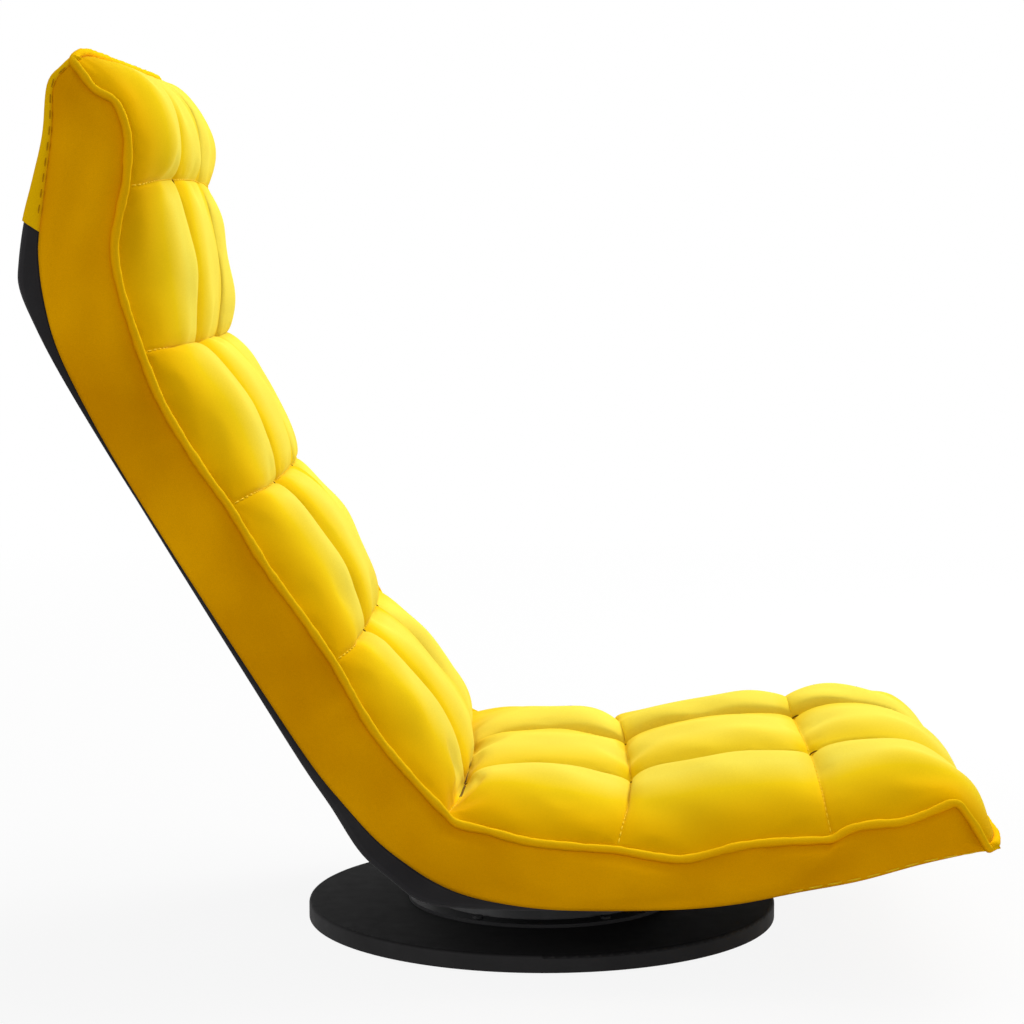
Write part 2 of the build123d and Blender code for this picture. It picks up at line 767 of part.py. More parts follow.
def cross_hole(panel, place, radius, y):
    """Cut a round hole through a hinge piece, across the chair."""
    with BuildSketch(panel.plane(y)) as hole:
        with Locations(place):
            Circle(radius)
    extrude(hole.sketch, amount=tube_diameter, both=True, mode=Mode.SUBTRACT)


pawl_pin_place = (pawl_pin_distance, 0.0)
seat_rivet_place = seat.point(seat_rivet_along, tube_rise)
back_rivet_place = back.point(back_rivet_along, tube_rise)
neck_middle = seat.point(seat_tube_start - spigot_radius - weld_gap, tube_rise)


def hinge_bracket(side):
    """Make the seat half of one hinge: two cheeks on a spigot."""
    y = side * tube_line
    with BuildPart() as bracket:
        for offset in (cheek_offset, -cheek_offset):
            with BuildSketch(seat.plane(y + offset)):
                with BuildLine():
                    CenterArc((0, 0), cheek_radius, 0, 360)
                    CenterArc(pawl_pin_place, pawl_pin_head_diameter / 2 + cheek_thickness, 0, 360)
                    CenterArc(neck_middle, spigot_radius, 0, 360)
                make_hull()
            extrude(amount=cheek_thickness / 2, both=True)
        spigot(seat, seat_tube_start, y)
        cross_hole(seat, (0, 0), pivot_radius + hole_clearance, y)
        cross_hole(seat, pawl_pin_place, pawl_pin_diameter / 2 + hole_clearance, y)
        cross_hole(seat, seat_rivet_place, rivet_diameter / 2 + hole_clearance, y)
    return bracket


def radial_outline(angle, inner, outer, trim):
    """List the corners of a tapered tooth or notch that points at the hinge axis."""
    along = Vector(cos(radians(angle)), sin(radians(angle)))
    aside = Vector(-along.Y, along.X)
    corners = []
    for radius, sign in ((inner, -1), (inner, 1), (outer, 1), (outer, -1)):
        half = notch_half_width + (radius - root_radius) * notch_flare - trim
        corners.append(along * radius + aside * (sign * half))
    return corners


def ratchet_arm(side):
    """Make the backrest half of one hinge: a notched wheel with an arm and a spigot."""
    y = side * tube_line
    neck = back.point(back_tube_start - weld_gap, tube_rise)
    with BuildPart() as arm:
        with BuildSketch(back.plane(y)):
            Circle(wheel_radius)
            with BuildLine():
                Polyline(
                    (0, arm_root_half_width),
                    (neck[0], neck[1] + spigot_radius),
                    (neck[0], neck[1] - spigot_radius),
                    (0, -arm_root_half_width),
                    close=True,
                )
            make_face()
            for step in recline_steps:
                with BuildLine():
                    notch_angle = back_direction - pawl_angle + step * tooth_pitch_angle
                    outline = radial_outline(notch_angle, root_radius, wheel_radius + tooth_depth, 0.0)
                    Polyline(*outline, close=True)
                make_face(mode=Mode.SUBTRACT)
        extrude(amount=wheel_thickness / 2, both=True)
        spigot(back, back_tube_start, y)
        cross_hole(back, (0, 0), pivot_radius + hole_clearance, y)
        cross_hole(back, back_rivet_place, rivet_diameter / 2 + hole_clearance, y)
    return arm


def pawl(side):
    """Make the catch that drops into one notch of the wheel."""
    nose_distance = wheel_radius + pawl_wheel_clearance + pawl_nose_radius
    tip_radius = root_radius + pawl_tip_clearance
    with BuildPart() as catch:
        with BuildSketch(seat.plane(side * (tube_line - pawl_offset))):
            with BuildLine():
                CenterArc(pawl_pin_place, pawl_boss_radius, 0, 360)
                CenterArc(polar(nose_distance, pawl_angle), pawl_nose_radius, 0, 360)
            make_hull()
            Circle(wheel_radius + pawl_wheel_clearance, mode=Mode.SUBTRACT)
            with BuildLine():
                tooth = radial_outline(pawl_angle, tip_radius, nose_distance, pawl_tooth_clearance)
                Polyline(*tooth, close=True)
            make_face()
            with Locations(pawl_pin_place):
                Circle(pawl_pin_diameter / 2 + hole_clearance, mode=Mode.SUBTRACT)
        extrude(amount=pawl_thickness / 2, both=True)
    return catch


for side_name, side in sides.items():
    finish(hinge_bracket(side), f"{side_name}_hinge_bracket")
    finish(ratchet_arm(side), f"{side_name}_ratchet_arm")
    finish(pawl(side), f"{side_name}_pawl")


def headed_pins(panel, place, radius, head_radius, head_height, reach):
    """Make a pair of headed pins across the chair, one through each hinge."""
    with BuildPart() as pins:
        for side in sides.values():
            with BuildSketch(panel.plane(side * tube_line)):
                with Locations(place):
                    Circle(radius)
            extrude(amount=reach + head_height, both=True)
            for end in (1, -1):
                head_middle = side * tube_line + end * (reach + weld_gap + head_height / 2)
                with BuildSketch(panel.plane(head_middle)):
                    with Locations(place):
                        Circle(head_radius)
                extrude(amount=head_height / 2, both=True)
    return pins


pivot_sizes = (pivot_radius, pivot_head_diameter / 2, pivot_head_height)
pawl_pin_sizes = (pawl_pin_diameter / 2, pawl_pin_head_diameter / 2, pawl_pin_head_height)
rivet_sizes = (rivet_diameter / 2, rivet_head_diameter / 2, rivet_head_height)
finish(headed_pins(seat, (0, 0), *pivot_sizes, cheek_outside), "hinge_pivot_rivets")
finish(headed_pins(seat, pawl_pin_place, *pawl_pin_sizes, cheek_outside), "pawl_pins")
finish(headed_pins(seat, seat_rivet_place, *rivet_sizes, tube_radius), "seat_tube_rivets")
finish(headed_pins(back, back_rivet_place, *rivet_sizes, tube_radius), "back_tube_rivets")

# Coil springs beside the pawls, each with one leg that bears on its bracket
spring_middle = wheel_thickness / 2 - spring_wire / 2
spring_inner = pawl_pin_diameter / 2 + spring_turn_gap
with BuildPart() as pawl_springs:
    for side in sides.values():
        with BuildSketch(seat.plane(side * (tube_line + spring_middle))):
            with Locations(pawl_pin_place):
                Circle(spring_inner + spring_wire)
                with Locations((spring_inner + spring_wire / 2, -spring_leg_length / 2)):
                    Rectangle(spring_wire, spring_leg_length)
                Circle(spring_inner, mode=Mode.SUBTRACT)
        extrude(amount=spring_wire / 2, both=True)
finish(pawl_springs, "pawl_springs")
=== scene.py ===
"""Dress the swivel floor chair: tufted velvet, piping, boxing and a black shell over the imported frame."""
import logging
import math
from dataclasses import dataclass, field
from enum import Enum
from typing import Sequence

import bpy
import numpy as np
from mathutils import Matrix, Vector


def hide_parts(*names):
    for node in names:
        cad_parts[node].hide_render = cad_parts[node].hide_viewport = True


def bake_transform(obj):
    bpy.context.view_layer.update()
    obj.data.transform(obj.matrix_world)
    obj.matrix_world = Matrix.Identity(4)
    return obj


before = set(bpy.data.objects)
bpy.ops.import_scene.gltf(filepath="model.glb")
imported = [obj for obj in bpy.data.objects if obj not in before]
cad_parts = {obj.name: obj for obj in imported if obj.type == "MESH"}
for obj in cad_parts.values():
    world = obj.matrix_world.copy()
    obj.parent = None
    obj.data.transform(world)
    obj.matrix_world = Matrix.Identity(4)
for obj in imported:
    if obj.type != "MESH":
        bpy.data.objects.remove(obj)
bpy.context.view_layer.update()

LOG = logging.getLogger("floor_chair")
MM = 0.001
TINY = 1e-9
SEED = 41
# Name of the value at the velvet's points that paints light and shade on it, from 0 for painted shade to 1
# for painted highlight
PAINTED_LIGHT = "painted_light_and_shade"
CROSSWISE = np.array([0.0, 1.0, 0.0])

Pair = tuple[float, float]
Place = tuple[float, float, float]
Colour = tuple[float, float, float]
Threads = tuple[np.ndarray, list[list[int]]]
Material = bpy.types.Material
Piece = bpy.types.Object
Socket = bpy.types.NodeSocket


class Side(Enum):
    """The chair's two sides, as the sitter sees them."""

    LEFT = 1.0
    RIGHT = -1.0

    @property
    def outward(self) -> np.ndarray:
        """The direction out of the chair on this side."""
        return self.value * CROSSWISE


class Slot(Enum):
    """Two of the record's material slots, by name."""

    VELVET = "velvet"
    BLACK_CLOTH = "black_cloth"


class Body(Enum):
    """The chair's seat and backrest bodies, by name."""

    SEAT = "seat"
    BACKREST = "backrest"


class Bands(Enum):
    """The axes that a texture's bands may follow each other along."""

    CROSSWISE = "Y"
    UPWARD = "Z"
    DIAGONAL = "DIAGONAL"


# Lines and meshes


def unit(vectors: np.ndarray) -> np.ndarray:
    """Scale vectors to length 1."""
    return vectors / np.maximum(np.linalg.norm(vectors, axis=-1, keepdims=True), TINY)


def ease(shares: np.ndarray) -> np.ndarray:
    """Run from 0 to 1 as shares do, level at both ends."""
    step = np.clip(shares, 0, 1)
    return step**2 * (3 - 2 * step)


def from_least(least: float | np.ndarray, shares: np.ndarray) -> np.ndarray:
    """Run from a least value to 1 as shares run from 0 to 1."""
    return least + (1 - least) * np.clip(shares, 0, 1)


def travel(line: np.ndarray) -> np.ndarray:
    """Give the distance travelled along a line at each of its points."""
    return np.concatenate([[0.0], np.cumsum(np.linalg.norm(np.diff(line, axis=0), axis=1))])


def at_stops(line: np.ndarray, travelled: np.ndarray, stops: np.ndarray) -> np.ndarray:
    """Give the places on a line at some distances along it.

    Args:
        line: points of the line.
        travelled: distance along it at each of them.
        stops: the distances that are asked for.

    Returns:
        A point for each stop.
    """
    return np.column_stack([np.interp(stops, travelled, axis) for axis in line.T])


def spaced(line: np.ndarray, pitch: float) -> tuple[np.ndarray, np.ndarray]:
    """Step along a line at an even pitch.

    Args:
        line: points of the line in mm.
        pitch: distance between steps in mm.

    Returns:
        The places, and the line's direction at each.
    """
    travelled = travel(line)
    stops = np.arange(pitch, travelled[-1] - pitch / 2, pitch)
    places = at_stops(line, travelled, stops)
    return places, at_stops(line, travelled, stops + pitch / 3) - places


class SmoothLine:
    """A smooth line through a few points, measured along its length."""

    def __init__(self, points: Sequence[Sequence[float]], steps: int = 14) -> None:
        """Run the line through the points.

        Args:
            points: places in mm that the line passes through, in order.
            steps: straight pieces between two of them.
        """
        knots = np.asarray(points, float)
        ghost = np.vstack([2 * knots[0] - knots[1], knots, 2 * knots[-1] - knots[-2]])
        t = np.linspace(0, 1, steps, endpoint=False)[:, None]
        runs = []
        for a, b, c, d in zip(ghost, ghost[1:], ghost[2:], ghost[3:]):
            bend = (2 * a - 5 * b + 4 * c - d) * t**2 + (3 * b - a - 3 * c + d) * t**3
            runs.append(0.5 * (2 * b + (c - a) * t + bend))
        self.points = np.vstack([*runs, knots[-1:]])
        self.steps = steps
        self.travelled = travel(self.points)

    @property
    def length(self) -> float:
        """The line's length in mm."""
        return float(self.travelled[-1])

    def at(self, shares: np.ndarray) -> np.ndarray:
        """Give the points at shares of the length, from 0 to 1."""
        return at_stops(self.points, self.travelled, np.asarray(shares, float) * self.length)

    def share_of(self, knot: int) -> float:
        """Give the share of the length at which the line passes one of its given points."""
        return float(self.travelled[knot * self.steps] / self.length)


class Ripple:
    """A seeded soft unevenness: a sum of a few waves over a surface."""

    def __init__(self, seed: int, shortest: float, longest: float, waves: int = 9) -> None:
        """Draw the waves.

        Args:
            seed: number that fixes the draw.
            shortest: shortest wavelength in mm.
            longest: longest wavelength in mm.
            waves: how many waves are added up.
        """
        draw = np.random.default_rng(seed)
        turn = draw.uniform(0, math.tau, waves)
        number = math.tau / draw.uniform(shortest, longest, waves)
        self.u, self.v = number * np.cos(turn), number * np.sin(turn)
        self.start = draw.uniform(0, math.tau, waves)
        self.scale = 1 / math.sqrt(waves / 2)

    def at(self, u: np.ndarray, v: np.ndarray) -> np.ndarray:
        """Give the height, about -1 to 1, at places in mm."""
        waves = np.cos(np.multiply.outer(u, self.u) + np.multiply.outer(v, self.v) + self.start)
        return waves.sum(-1) * self.scale


def numbered(rows: int, columns: int) -> np.ndarray:
    """Number the points of a grid, row by row."""
    return np.arange(rows * columns).reshape(rows, columns)


def grid_faces(index: np.ndarray, flip: bool = False) -> np.ndarray:
    """List the four-sided faces of a grid of points.

    Args:
        index: the points' numbers, along the grid and across it.
        flip: turns the faces over.

    Returns:
        An array of four point numbers for each face.
    """
    corners = [index[:-1, :-1], index[:-1, 1:], index[1:, 1:], index[1:, :-1]]
    faces = np.stack([corner.ravel() for corner in corners], axis=1)
    return faces[:, ::-1] if flip else faces


def make_mesh(name: str, points: np.ndarray, faces: np.ndarray | list[list[int]], finish: Material) -> Piece:
    """Make a smooth-shaded mesh object from points in mm.

    Args:
        name: the piece's name.
        points: its points in mm.
        faces: point numbers of each face.
        finish: the material it wears.

    Returns:
        The new object, linked to the scene.
    """
    mesh = bpy.data.meshes.new(name)
    listed = faces.tolist() if isinstance(faces, np.ndarray) else faces
    mesh.from_pydata((np.asarray(points).reshape(-1, 3) * MM).tolist(), [], listed)
    mesh.update()
    mesh.shade_smooth()
    mesh.materials.append(finish)
    piece = bpy.data.objects.new(name, mesh)
    bpy.context.scene.collection.objects.link(piece)
    return piece


def points_of(mesh: bpy.types.Mesh) -> np.ndarray:
    """Give a mesh's points in metres.

    Args:
        mesh: the mesh.

    Returns:
        An array of points.
    """
    flat = np.empty(len(mesh.vertices) * 3)
    mesh.vertices.foreach_get("co", flat)
    return flat.reshape(-1, 3)


def set_painted_light(piece: Piece, values: np.ndarray) -> None:
    """Let a piece's points carry the painted light and shade of its velvet."""
    wear_and_painted_light = piece.data.attributes.new(PAINTED_LIGHT, "FLOAT", "POINT")
    wear_and_painted_light.data.foreach_set("value", values)


def keep_modifiers(piece: Piece) -> None:
    """Turn a piece's modifiers into its mesh.

    Args:
        piece: the piece.
    """
    graph = bpy.context.evaluated_depsgraph_get()
    made = bpy.data.meshes.new_from_object(piece.evaluated_get(graph))
    old, piece.data = piece.data, made
    piece.modifiers.clear()
    bpy.data.meshes.remove(old)
    piece.data.name = piece.name
    piece.data.shade_smooth()


def thicken(piece: Piece, thickness: float) -> None:
    """Give a one-sided cloth its thickness in mm, on its inner side.

    Args:
        piece: the cloth.
        thickness: how thick it is, in mm.
    """
    wall = piece.modifiers.new("cloth", "SOLIDIFY")
    wall.thickness = thickness * MM
    wall.offset = -1.0
    wall.use_even_offset = False
    keep_modifiers(piece)


def tube_mesh(path: np.ndarray, radius: np.ndarray, sides: int) -> tuple[np.ndarray, np.ndarray]:
    """Sweep a round section round a closed path.

    Args:
        path: points of the closed path in mm.
        radius: the section's radius at each point.
        sides: corners of the section.

    Returns:
        The tube's points, and its faces.
    """
    count = len(path)
    off_path = (0.0, 1.0, 0.3)
    along = unit(np.roll(path, -1, 0) - np.roll(path, 1, 0))
    across = np.zeros_like(path)
    across[0] = unit(np.cross(along[0], off_path))
    for k in range(1, count):
        across[k] = unit(across[k - 1] - along[k] * np.dot(across[k - 1], along[k]))
    home = unit(across[-1] - along[0] * np.dot(across[-1], along[0]))
    twist = math.atan2(np.dot(np.cross(home, across[0]), along[0]), np.dot(home, across[0]))
    angle = np.linspace(0, math.tau, sides, endpoint=False)[None, :]
    angle = angle + (np.arange(count) / count * twist)[:, None]
    third = np.cross(along, across)
    ring = np.cos(angle)[..., None] * across[:, None] + np.sin(angle)[..., None] * third[:, None]
    points = path[:, None] + ring * radius[:, None, None]
    index = numbered(count, sides)
    turn, ahead = np.roll(index, -1, 1), np.roll(index, -1, 0)
    faces = np.stack([index, turn, np.roll(turn, -1, 0), ahead], axis=-1).reshape(-1, 4)
    return points.reshape(-1, 3), faces


def dashes(places: np.ndarray, along: np.ndarray, up: np.ndarray, length: float, radius: float) -> Threads:
    """Lay one short thread at each place, with its ends drawn into the cloth.

    Args:
        places: middles of the threads in mm.
        along: direction of each thread.
        up: direction away from the cloth at each place.
        length: length of a thread in mm.
        radius: its radius in mm.

    Returns:
        The points of all threads, and their faces.
    """
    reach = np.array([-1.0, -0.8, -0.3, 0.3, 0.8, 1.0])
    girth = np.array([0.35, 0.8, 1.0, 1.0, 0.8, 0.35])
    sink = np.array([-1.6, -0.5, 0.0, 0.0, -0.5, -1.6])
    rings, sides = len(reach), 6
    angle = np.linspace(0, math.tau, sides, endpoint=False)
    along, up = unit(along), unit(up)
    beside = unit(np.cross(up, along))
    ahead = np.outer(reach * length / 2, np.ones(sides))
    rise = girth[:, None] * radius * np.sin(angle) + sink[:, None] * radius
    width = girth[:, None] * radius * np.cos(angle)
    points = (places[:, None, None] + ahead[..., None] * along[:, None, None]
              + width[..., None] * beside[:, None, None] + rise[..., None] * up[:, None, None])
    index = numbered(rings, sides)
    turn = np.roll(index, -1, 1)
    wall = np.stack([index[:-1], turn[:-1], turn[1:], index[1:]], axis=-1).reshape(-1, 4)
    faces: list[list[int]] = []
    for first in range(0, len(places) * rings * sides, rings * sides):
        faces += (wall + first).tolist()
        faces += [(index[0] + first)[::-1].tolist(), (index[-1] + first).tolist()]
    return points.reshape(-1, 3), faces


@dataclass
class Stitching:
    """One sort of stitches, gathered from all the lines that it is sewn along, in mm."""

    pitch: float
    length: float
    radius: float
    places: list[np.ndarray] = field(default_factory=list)
    along: list[np.ndarray] = field(default_factory=list)
    up: list[np.ndarray] = field(default_factory=list)

    def sew(self, line: np.ndarray, away: np.ndarray, lift: float) -> None:
        """Sew along one line.

        Args:
            line: its points in mm.
            away: direction away from the cloth, at each point or for the whole line.
            lift: how far the stitches lie off the line.
        """
        places, ahead = spaced(line, self.pitch)
        nearest = np.argmin(np.linalg.norm(line[None] - places[:, None], axis=-1), axis=1)
        up = np.broadcast_to(away, line.shape)[nearest]
        self.places.append(places + up * lift)
        self.along.append(ahead)
        self.up.append(up)

    def threads(self) -> Threads:
        """Give the points and faces of all the stitches."""
        gathered = (np.vstack(part) for part in (self.places, self.along, self.up))
        return dashes(*gathered, self.length, self.radius)


# Finishes

WHITE: Colour = (1.0, 1.0, 1.0)
# Sockets of a mix node that take its two colours and give the mixed one
MIX_BASE, MIX_OVER, MIX_RESULT = 6, 7, 2


class Paint:
    """A material in the making: its shader, and short calls for its texture nodes."""

    def __init__(self, name: str, **sockets: object) -> None:
        """Start a material.

        Args:
            name: the material's name.
            sockets: constants of the shader, with _ for a space in a socket's name.
        """
        self.material = bpy.data.materials.new(name)
        self.material.use_nodes = True
        self.nodes = self.material.node_tree.nodes
        self.shader = self.nodes["Principled BSDF"]
        self.place = self.nodes.new("ShaderNodeTexCoord").outputs["Object"]
        for socket, value in sockets.items():
            self.shader.inputs[socket.replace("_", " ")].default_value = value

    def link(self, source: Socket, target: Socket) -> None:
        """Join two sockets."""
        self.material.node_tree.links.new(source, target)

    def to(self, socket: str, source: Socket) -> None:
        """Lead a texture into one of the shader's sockets."""
        self.link(source, self.shader.inputs[socket])

    def noise(self, scale: float, detail: float = 2.0) -> Socket:
        """Add a noise texture.

        Args:
            scale: its scale, per metre.
            detail: its octaves.

        Returns:
            The texture's value.
        """
        node = self.nodes.new("ShaderNodeTexNoise")
        node.inputs["Scale"].default_value = scale
        node.inputs["Detail"].default_value = detail
        self.link(self.place, node.inputs["Vector"])
        return node.outputs["Fac"]

    def attribute(self, name: str) -> Socket:
        """Read a value that the mesh carries at its points.

        Args:
            name: the value's name.

        Returns:
            The value.
        """
        node = self.nodes.new("ShaderNodeAttribute")
        node.attribute_name = name
        return node.outputs["Fac"]

    def facing_up(self) -> Socket:
        """Give how far the surface faces up, from -1 to 1.

        Returns:
            Its direction's upward part.
        """
        split = self.nodes.new("ShaderNodeSeparateXYZ")
        self.link(self.nodes.new("ShaderNodeNewGeometry").outputs["Normal"], split.inputs["Vector"])
        return split.outputs["Z"]

    def wave(self, bands: Bands, scale: float) -> Socket:
        """Add bands that follow each other along an axis.

        Args:
            bands: the axis.
            scale: the bands' scale.

        Returns:
            The texture's value.
        """
        node = self.nodes.new("ShaderNodeTexWave")
        node.bands_direction = bands.value
        node.inputs["Scale"].default_value = scale
        self.link(self.place, node.inputs["Vector"])
        return node.outputs["Fac"]

    def ramp(self, source: Socket, low: Colour, high: Colour, start: float = 0.3, end: float = 0.7,
             middle: Colour | None = None) -> Socket:
        """Turn a value into a run from one colour to another, by way of a third where it is given.

        Args:
            source: the value.
            low: colour up to start.
            high: colour from end on.
            start: where the run begins.
            end: where it ends.
            middle: colour halfway, where the run isn't straight.

        Returns:
            The colour.
        """
        node = self.nodes.new("ShaderNodeValToRGB")
        first, last = node.color_ramp.elements
        first.position, last.position = start, end
        first.color, last.color = (*low, 1.0), (*high, 1.0)
        if middle:
            node.color_ramp.elements.new((start + end) / 2).color = (*middle, 1.0)
        self.link(source, node.inputs["Fac"])
        return node.outputs["Color"]

    def span(self, source: Socket, low: float, high: float) -> Socket:
        """Spread a value between two others.

        Args:
            source: the value, from 0 to 1.
            low: what 0 becomes.
            high: what 1 becomes.

        Returns:
            The spread value.
        """
        node = self.nodes.new("ShaderNodeMapRange")
        node.inputs["To Min"].default_value = low
        node.inputs["To Max"].default_value = high
        self.link(source, node.inputs["Value"])
        return node.outputs["Result"]

    def tint(self, base: Socket, over: Socket, share: float) -> Socket:
        """Multiply one colour by a share of another.

        Args:
            base: the colour beneath.
            over: the colour that shades it.
            share: how strongly it does, from 0 to 1.

        Returns:
            The shaded colour.
        """
        node = self.nodes.new("ShaderNodeMix")
        node.data_type, node.blend_type = "RGBA", "MULTIPLY"
        node.inputs["Factor"].default_value = share
        self.link(base, node.inputs[MIX_BASE])
        self.link(over, node.inputs[MIX_OVER])
        return node.outputs[MIX_RESULT]

    def relief(self, *layers: tuple[Socket, float, float]) -> None:
        """Stack bumps on the shader.

        Args:
            layers: for each bump its height texture, its strength and its depth in mm.
        """
        below = None
        for height, strength, depth in layers:
            node = self.nodes.new("ShaderNodeBump")
            node.inputs["Strength"].default_value = strength
            node.inputs["Distance"].default_value = depth * MM
            self.link(height, node.inputs["Height"])
            if below is not None:
                self.link(below, node.inputs["Normal"])
            below = node.outputs["Normal"]
        self.to("Normal", below)


@dataclass(frozen=True)
class Velvet:
    """Short-pile velvet: brushed patches, a soft sheen and a fine pile texture.

    With a middle colour, it runs from deep to light by the value that the mesh carries: deep colour as
    painted shade, light colour as painted highlight.
    """

    name: str
    light: Colour
    deep: Colour
    sheen: float
    # colour halfway between painted shade and painted highlight, for velvets whose mesh carries painted light
    middle: Colour | None = None
    sheen_colour: Colour = (1.0, 0.82, 0.20)
    sheen_roughness: float = 0.24
    roughness: float = 0.88
    brushed: Colour = (0.95, 0.92, 0.85)
    brushed_share: float = 0.8
    brushed_scale: float = 11.0
    patch_scale: float = 9.0
    pile: Colour = (0.82, 0.78, 0.72)
    pile_share: float = 0.5
    pile_scale: float = 1400.0
    nap_scale: float = 1500.0
    dimple_scale: float = 70.0

    def face(self, paint: Paint) -> Socket:
        """Give the velvet's colour, with its painted light and shade where it has a middle colour, before its
        pile's random tone darkens it.

        Args:
            paint: the material in the making.

        Returns:
            The colour.
        """
        if not self.middle:
            return paint.ramp(paint.noise(self.patch_scale), self.deep, self.light)
        # Painted shade and painted highlight, by the value that the mesh carries
        wear_and_painted_light = paint.ramp(paint.attribute(PAINTED_LIGHT), self.deep, self.light, 0.0, 1.0, self.middle)
        patches = paint.ramp(paint.noise(self.brushed_scale), self.brushed, WHITE)
        return paint.tint(wear_and_painted_light, patches, self.brushed_share)

    def build(self) -> Material:
        """Make the material.

        Returns:
            The finished material.
        """
        paint = Paint(self.name, Roughness=self.roughness, Specular_IOR_Level=0.0, Sheen_Weight=self.sheen,
                      Sheen_Roughness=self.sheen_roughness, Sheen_Tint=(*self.sheen_colour, 1.0))
        shade = paint.ramp(paint.noise(self.pile_scale, 1.0), self.pile, WHITE)
        paint.to("Base Color", paint.tint(self.face(paint), shade, self.pile_share))
        paint.relief((paint.noise(self.nap_scale), 0.25, 0.5), (paint.noise(self.dimple_scale), 0.06, 1.0))
        return paint.material


@dataclass(frozen=True)
class SewingThread:
    """Twisted sewing thread."""

    name: str
    light: Colour
    deep: Colour
    fibre_scale: float = 300.0
    twist_scale: float = 420.0

    def build(self) -> Material:
        """Make the material.

        Returns:
            The finished material.
        """
        paint = Paint(self.name, Roughness=0.7, Specular_IOR_Level=0.05)
        paint.to("Base Color", paint.ramp(paint.noise(self.fibre_scale, 1.0), self.deep, self.light))
        paint.relief((paint.wave(Bands.DIAGONAL, self.twist_scale), 0.5, 0.15))
        return paint.material


@dataclass(frozen=True)
class CoverCloth:
    """Black woven lining cloth with a dull face."""

    name: str = "black_lining_cloth"
    light: Colour = (0.026, 0.025, 0.027)
    deep: Colour = (0.013, 0.012, 0.014)
    between_yarns: Colour = (0.6, 0.6, 0.6)
    yarn_share: float = 0.6
    yarn_scale: float = 330.0
    wear_scale: float = 16.0
    dull_scale: float = 40.0
    crumple_scale: float = 30.0

    def build(self) -> Material:
        """Make the material.

        Returns:
            The finished material.
        """
        paint = Paint(self.name, Specular_IOR_Level=0.22, Sheen_Weight=0.06, Sheen_Roughness=0.5)
        wear_and_painted_light = paint.ramp(paint.noise(self.wear_scale, 4.0), self.deep, self.light, 0.3, 0.75)
        yarn = paint.ramp(paint.wave(Bands.CROSSWISE, self.yarn_scale), self.between_yarns, WHITE)
        paint.to("Base Color", paint.tint(wear_and_painted_light, yarn, self.yarn_share))
        paint.to("Roughness", paint.span(paint.noise(self.dull_scale), 0.74, 0.92))
        weave = [(paint.wave(bands, self.yarn_scale), 0.35, 0.3) for bands in (Bands.CROSSWISE, Bands.UPWARD)]
        paint.relief(*weave, (paint.noise(self.crumple_scale), 0.12, 1.5))
        return paint.material


@dataclass(frozen=True)
class PaintedBoard:
    """Fibreboard under a thin black paint with a faint eggshell; its colour is paler on the upright edge,
    painted light, and darker on the top, painted shade.
    """

    name: str = "black_painted_board"
    # Top colour, darker as painted shade, and upright edge colour, paler as painted light
    face: Colour = (0.0190, 0.0185, 0.0191)
    edge: Colour = (0.0480, 0.0470, 0.0482)
    grain: Colour = (0.72, 0.72, 0.72)
    grain_scale: float = 22.0
    dull_scale: float = 60.0
    eggshell_scale: float = 420.0

    def build(self) -> Material:
        """Make the material.

        Returns:
            The finished material.
        """
        paint = Paint(self.name, Specular_IOR_Level=0.06)
        # Painted light and shade: paler where the board faces sideways or down, darker where it faces up
        lit_edge_shaded_top = paint.ramp(paint.facing_up(), self.edge, self.face, 0.30, 0.90)
        grain = paint.ramp(paint.noise(self.grain_scale, 5.0), self.grain, WHITE, 0.3, 0.8)
        paint.to("Base Color", paint.tint(lit_edge_shaded_top, grain, 1.0))
        paint.to("Roughness", paint.span(paint.noise(self.dull_scale, 4.0), 0.60, 0.78))
        paint.relief((paint.noise(self.eggshell_scale, 3.0), 0.16, 0.3))
        return paint.material


@dataclass(frozen=True)
class Rubber:
    """Soft black foam rubber with open pores."""

    name: str = "pad_foam_rubber"
    light: Colour = (0.024, 0.023, 0.024)
    deep: Colour = (0.008, 0.008, 0.009)
    speck_scale: float = 500.0
    pore_scale: float = 900.0

    def build(self) -> Material:
        """Make the material.

        Returns:
            The finished material.
        """
        paint = Paint(self.name, Roughness=0.93, Specular_IOR_Level=0.2)
        paint.to("Base Color", paint.ramp(paint.noise(self.speck_scale), self.deep, self.light))
        paint.relief((paint.noise(self.pore_scale), 0.5, 0.4))
        return paint.material


@dataclass(frozen=True)
class Steel:
    """Steel sheet, tube or fastener under a plated or coated skin."""

    name: str
    light: Colour
    deep: Colour
    metallic: float
    smooth: float
    rough: float
    orange_peel: float
    cloud_scale: float = 80.0
    polish_scale: float = 140.0
    peel_scale: float = 650.0

    def build(self) -> Material:
        """Make the material.

        Returns:
            The finished material.
        """
        paint = Paint(self.name, Metallic=self.metallic)
        clouds = paint.noise(self.cloud_scale, 5.0)
        paint.to("Base Color", paint.ramp(clouds, self.deep, self.light, 0.3, 0.75))
        paint.to("Roughness", paint.span(paint.noise(self.polish_scale, 4.0), self.smooth, self.rough))
        paint.relief((paint.noise(self.peel_scale), self.orange_peel, 0.15))
        return paint.material


@dataclass(frozen=True)
class ElasticWebbing:
    """Black elastic strap with ribs across its width."""

    name: str = "elastic_webbing"
    light: Colour = (0.034, 0.033, 0.033)
    deep: Colour = (0.010, 0.010, 0.011)
    rib_scale: float = 200.0
    fibre_scale: float = 700.0

    def build(self) -> Material:
        """Make the material.

        Returns:
            The finished material.
        """
        paint = Paint(self.name, Roughness=0.85, Specular_IOR_Level=0.2)
        rib = paint.wave(Bands.CROSSWISE, self.rib_scale)
        paint.to("Base Color", paint.ramp(rib, self.deep, self.light))
        paint.relief((rib, 0.6, 0.5), (paint.noise(self.fibre_scale, 1.0), 0.2, 0.2))
        return paint.material


